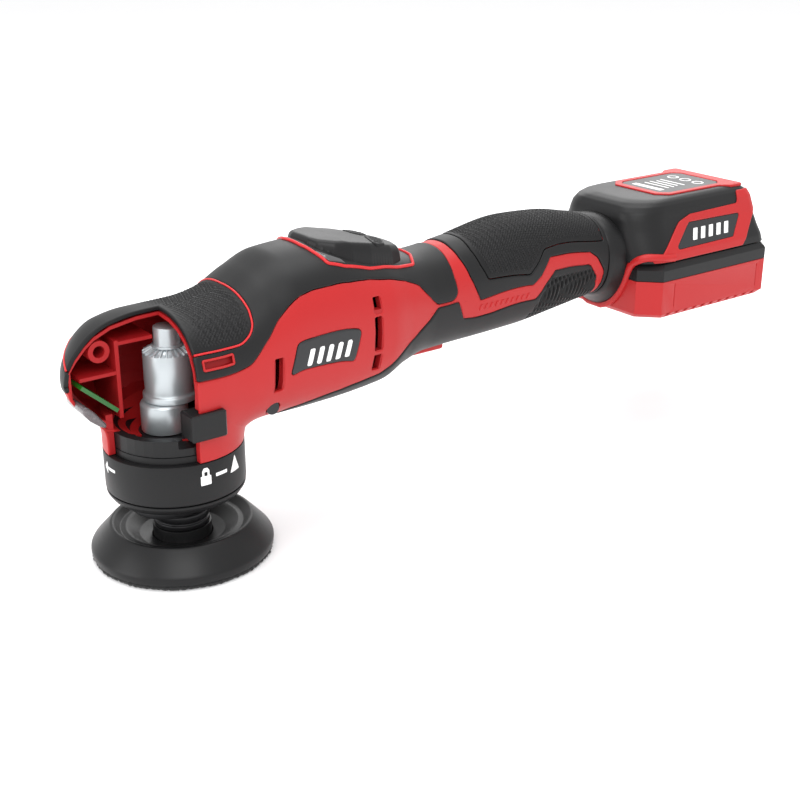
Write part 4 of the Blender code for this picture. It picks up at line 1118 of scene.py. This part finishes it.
neckSections = (
    # x, half width, low, centre, high, squareness
    (222.5, 19.4, 70.2, 89.1, 108.0, 2.3), (223.2, 19.9, 69.6, 89.1, 108.6, 2.3),
    (225.5, 20.2, 68.6, 89.5, 109.0, 2.25), (228.0, 20.6, 66.8, 90.2, 109.2, 2.15),
    (230.5, 21.0, 64.6, 91.0, 109.0, 2.05),
    (232.8, 21.4, 62.8, 92.0, 108.0, 2.0), (233.8, 21.4, 62.2, 92.0, 106.0, 2.0),
)
turns = np.linspace(0, 2 * math.pi, 96, endpoint=False)
neckRings = []
for x, half, low, centre, high, square in neckSections:
    across, up = ovalPoint(turns, half, 1.0, square)
    reach = np.where(np.cos(turns) > 0, high - centre, centre - low)
    neckRings.append([(x, y, z) for y, z in zip(np.sign(np.sin(turns)) * across, centre + reach * up)])
place(loftRings("dock_neck", neckRings), "black", "housing")


def dockSide(side):
    return lambda x, z: np.stack([x, -side * dockHalf(x, z), z], axis=1)


def dockTop(x, y):
    z = 115.75 + 0.35 * np.clip((24 - np.abs(y)) / 3, 0, 1)
    return np.stack([x, y, z], axis=1)


def flatField(points, radius=0.6, hole=None, holeRadius=0.6):
    return outlineField(rounded(points, radius), None if hole is None else rounded(hole, holeRadius))


sidePlate = ((252.8, 93.2), (265.4, 104.4), (302.6, 103.9), (294.2, 93.7))
sideFrame = ((239, 88.6), (240, 91.2), (244.5, 92.6), (259.0, 105.5), (267.0, 108.0), (301.4, 108.6), (302.6, 114.2),
             (311.6, 114.2), (314.6, 104.5), (311.0, 101.0), (300.4, 88.6))
topPlate = mirrored(((261.0, -12.0), (264.5, -15.4), (300.0, -15.4), (303.6, -12.0)))
topFrame = mirrored(((257.0, -13.4), (262.6, -18.6), (297.0, -19.0), (302.0, -22.6), (310.8, -22.8)))
grid = gridOver((255, -24), (312, 24), (110, 90))
place(flatSheet("dock_top_frame", dockTop, grid, flatField(topFrame, 2.0, topPlate, 1.5), 0.7, 0.5, 0.5),
      "red", "housing")
place(flatSheet("dock_label_fine", dockTop, grid, flatField(topPlate, 1.5), 0.4, 0.4, 0.3, start=0.1),
      "plate", "housing", ("dock_label",))
printed = []
for row, (x, half) in enumerate(((266.4, 9.5), (272.6, 8.0), (276.4, 8.0), (280.2, 7.0), (284.0, 8.0))):
    thick = 1.7 if row == 0 else 0.5
    bar = ((x - thick, -half), (x + thick, -half), (x + thick, half), (x - thick, half))
    grid = gridOver((x - thick - 0.3, -half - 0.3), (x + thick + 0.3, half + 0.3), (16, 40))
    printed.append(flatSheet(f"label_line_{row}", dockTop, grid, flatField(bar, 0.1), 0.47, -0.3, 0.05))
turns = np.linspace(0, 2 * math.pi, 24, endpoint=False)
for k, (x, y) in enumerate(((293.5, -8.2), (293.5, 0.0), (293.5, 8.2))):
    ring, hole = circlePoints(x, y, 3.0, turns), circlePoints(x, y, 2.2, turns)
    grid = gridOver((x - 3.3, y - 3.3), (x + 3.3, y + 3.3), (30, 30))
    printed.append(flatSheet(f"label_ring_{k}", dockTop, grid, flatField(ring, 0, hole, 0), 0.47, -0.3, 0.05))
place(join("label_print", printed), "print", "housing")

for label, side in sides:
    grid = gridOver((237, 88.4), (318, 114.6), (130, 60))
    surface = dockSide(side)
    redFrame = flatSheet(f"dock_side_frame_{label}", surface, grid, flatField(sideFrame, 1.2, sidePlate, 1.0), 0.75,
                         0.5, 0.5, sign=side)
    place(redFrame, "red", "housing")
    plate = flatSheet(f"dock_badge_{label}_fine", surface, grid, flatField(sidePlate, 1.0), 0.45, 0.4, 0.3, start=0.1,
                      sign=side)
    place(plate, "plate", "housing", (f"dock_badge_{label}",))
    bars = []
    for left in (265.6, 271.2, 276.8, 282.4, 288.0):
        grid = gridOver((left - 0.4, 95.6), (left + 5.4, 101.6), (30, 24))
        bars.append(flatSheet(f"dock_bar_{label}_{len(bars)}", surface, grid,
                              flatField(slantedBar(left, 96.0, 101.2, 3.0, 2.0), 0.2), 0.52, -0.35, 0.06, sign=side))
    place(join(f"dock_bars_{label}", bars), "print", "housing")

lipPoints = [(233.9, 4.0, 62.8), (234.0, 9.5, 65.2), (234.1, 14.5, 70.2), (234.2, 18.0, 76.6), (234.2, 20.4, 83.0),
             (234.1, 23.0, 87.6)]
lipPoints += [(x, float(dockHalf(x, z)) + 0.3, z) for x, z in ((234.6, 90.6), (237.0, 91.5), (241.0, 91.3),
                                                               (246.0, 90.7), (251.0, 90.3))]
lipPath = [(x, -y, z) for x, y, z in lipPoints]


def smoothPath(points, count=8):
    points = np.array(points, float)
    ends = np.concatenate([[2 * points[0] - points[1]], points, [2 * points[-1] - points[-2]]])
    found = []
    for p0, p1, p2, p3 in zip(ends, ends[1:], ends[2:], ends[3:]):
        for t in np.linspace(0, 1, count, endpoint=False):
            found.append(0.5 * (2 * p1 + (p2 - p0) * t + (2 * p0 - 5 * p1 + 4 * p2 - p3) * t * t
                                + (3 * p1 - p0 - 3 * p2 + p3) * t**3))
    return found + [points[-1]]


nearLip = smoothPath(lipPath)
farLip = [(x, -y, z) for x, y, z in nearLip]
lip = tube("dock_lip", farLip[::-1] + nearLip, 1.9, sides=4)
place(lip, "red", "housing")
print("dock made")


# battery pack: red case, black lid with its tower, and the latch

packShape = {"front": 234.4, "rear": 320.5, "half": 35.3, "chamfer": 9.0, "corner": 3.0}


def packRing(z, inset=0.0):
    p = packShape
    front, rear, half = p["front"] + inset, p["rear"] - inset, p["half"] - inset
    chamfer, corner = p["chamfer"], p["corner"]
    return ((front + chamfer, half, z), (front, half - chamfer, z), (front, -half + chamfer, z),
            (front + chamfer, -half, z), (rear - corner, -half, z), (rear, -half + corner, z),
            (rear, half - corner, z), (rear - corner, half, z))


def cutWith(obj, cutters, operation="DIFFERENCE"):
    for cutter in cutters:
        modifier = obj.modifiers.new("cut", "BOOLEAN")
        modifier.operation = operation
        modifier.object = cutter
        modifier.solver = "EXACT"
    applyModifiers(obj)
    for cutter in cutters:
        bpy.data.objects.remove(cutter)
    return obj


def sideBlock(name, side, x, y, z, bevel=0):
    # a block between the pairs of x, y and z, turned over to -Y when the side is -1
    low, high = sorted((side * y[0], side * y[1]))
    return blockPiece(name, (x[0], low, z[0]), (x[1], high, z[1]), bevel)


case = loftRings("pack_case_fine", [packRing(60.8, 2.4), packRing(63.2, 0), packRing(79.35, 0), packRing(79.35, 2),
                                    packRing(63.6, 2)])
cutters = []
for side in (-1, 1):
    cutters += [sideBlock(f"notch_{side}_{k}", side, (247 + 6.2 * k, 250 + 6.2 * k), (33.4, 36), (60, 63.4))
                for k in range(11)]
    cutters += [sideBlock(f"line_{side}_{x}", side, (x, x + 0.45), (35.05, 36), (66, 77.6)) for x in (251.5, 311.6)]
cutWith(case, cutters)
bevelEdges(case, 0.5, 2, 25)
smoothShade(case)
place(case, "red", "pack", ("pack_case",))

lid = loftRings("pack_lid_fine", [packRing(85.1, 2), packRing(79.65, 2), packRing(79.65, 0), packRing(84.9, 0),
                                  packRing(87.6, 1.9)])
tower = blockPiece("tower", (257, -22, 86.6), (308, 22, 96.5), 1.5)
rails = [sideBlock(f"rail_{side}", side, (259, 305), (20, 24.4), (91.8, 95), 0.3) for side in (-1, 1)]
cutWith(lid, [tower] + rails, "UNION")
slots = [blockPiece(f"slot_{y}", (230, y - 1.0, 80), (256, y + 1.0, 95), 0) for y in (-9, -3, 3, 9)]
cutWith(lid, slots + [blockPiece("latch_room", (308.6, -10.3, 83), (330, 10.3, 95), 0)])
bevelEdges(lid, 0.35, 2, 30)
smoothShade(lid)
place(lid, "black", "pack", ("pack_lid",))
place(blockPiece("pack_latch_fine", (309.0, -10.0, 84.6), (319.7, 10.0, 87.8), 0.8), "black", "pack_latch",
      ("pack_latch",))
place(blockPiece("trigger_fine", (112.0, -5.0, 60.6), (134.2, 5.0, 65.0), 1.4, 4), "red", "trigger",
      ("trigger",))
print("pack made")


# studio

studio = {"floor": 40.0, "floorLevel": -0.0005, "world": 1.0, "middle": (0.12, 0, 0.07)}
lights = (
    # name, place, width, height, power
    ("key", (-0.5, -0.9, 1.1), 0.9, 0.9, 9), ("top", (0.2, 0.15, 1.3), 1.2, 0.8, 10),
    ("side", (-1.2, 0.2, 0.5), 0.8, 0.8, 5), ("back", (0.9, 0.9, 0.8), 0.9, 0.9, 5),
)
view = {"lens": 58.7, "sensor": 36, "near": 0.01, "place": (-0.2142, -0.4402, 0.2576),
        "towards": (0.5544, 0.7454, -0.3701)}


def aim(obj, location, direction):
    obj.location = location
    obj.rotation_euler = Vector(direction).to_track_quat("-Z", "Y").to_euler()


deselectAll()
bpy.ops.mesh.primitive_plane_add(size=studio["floor"], location=(0, 0, studio["floorLevel"]))
floor = bpy.context.object
floor.name = "studio_floor"
floor.data.materials.append(finish("floorPaper", (0.95, 0.95, 0.955), 0.85, depth=0.01, swing=0.01, ior=1.2))
world = bpy.data.worlds.new("studio")
bpy.context.scene.world = world
world.use_nodes = True
background = {"Color": (1, 1, 1, 1), "Strength": studio["world"]}
setSockets(world.node_tree, world.node_tree.nodes["Background"], background)
for name, location, width, height, power in lights:
    light = bpy.data.lights.new(name, "AREA")
    light.energy = power
    light.shape = "RECTANGLE"
    light.size = width
    light.size_y = height
    aim(addObject(name, light), location, Vector(studio["middle"]) - Vector(location))

camera = bpy.data.cameras.new("camera")
camera.lens = view["lens"]
camera.sensor_width = view["sensor"]
camera.clip_start = view["near"]
cameraObject = addObject("camera", camera)
aim(cameraObject, view["place"], view["towards"])
bpy.context.scene.camera = cameraObject
bpy.context.scene.view_settings.view_transform = "Standard"
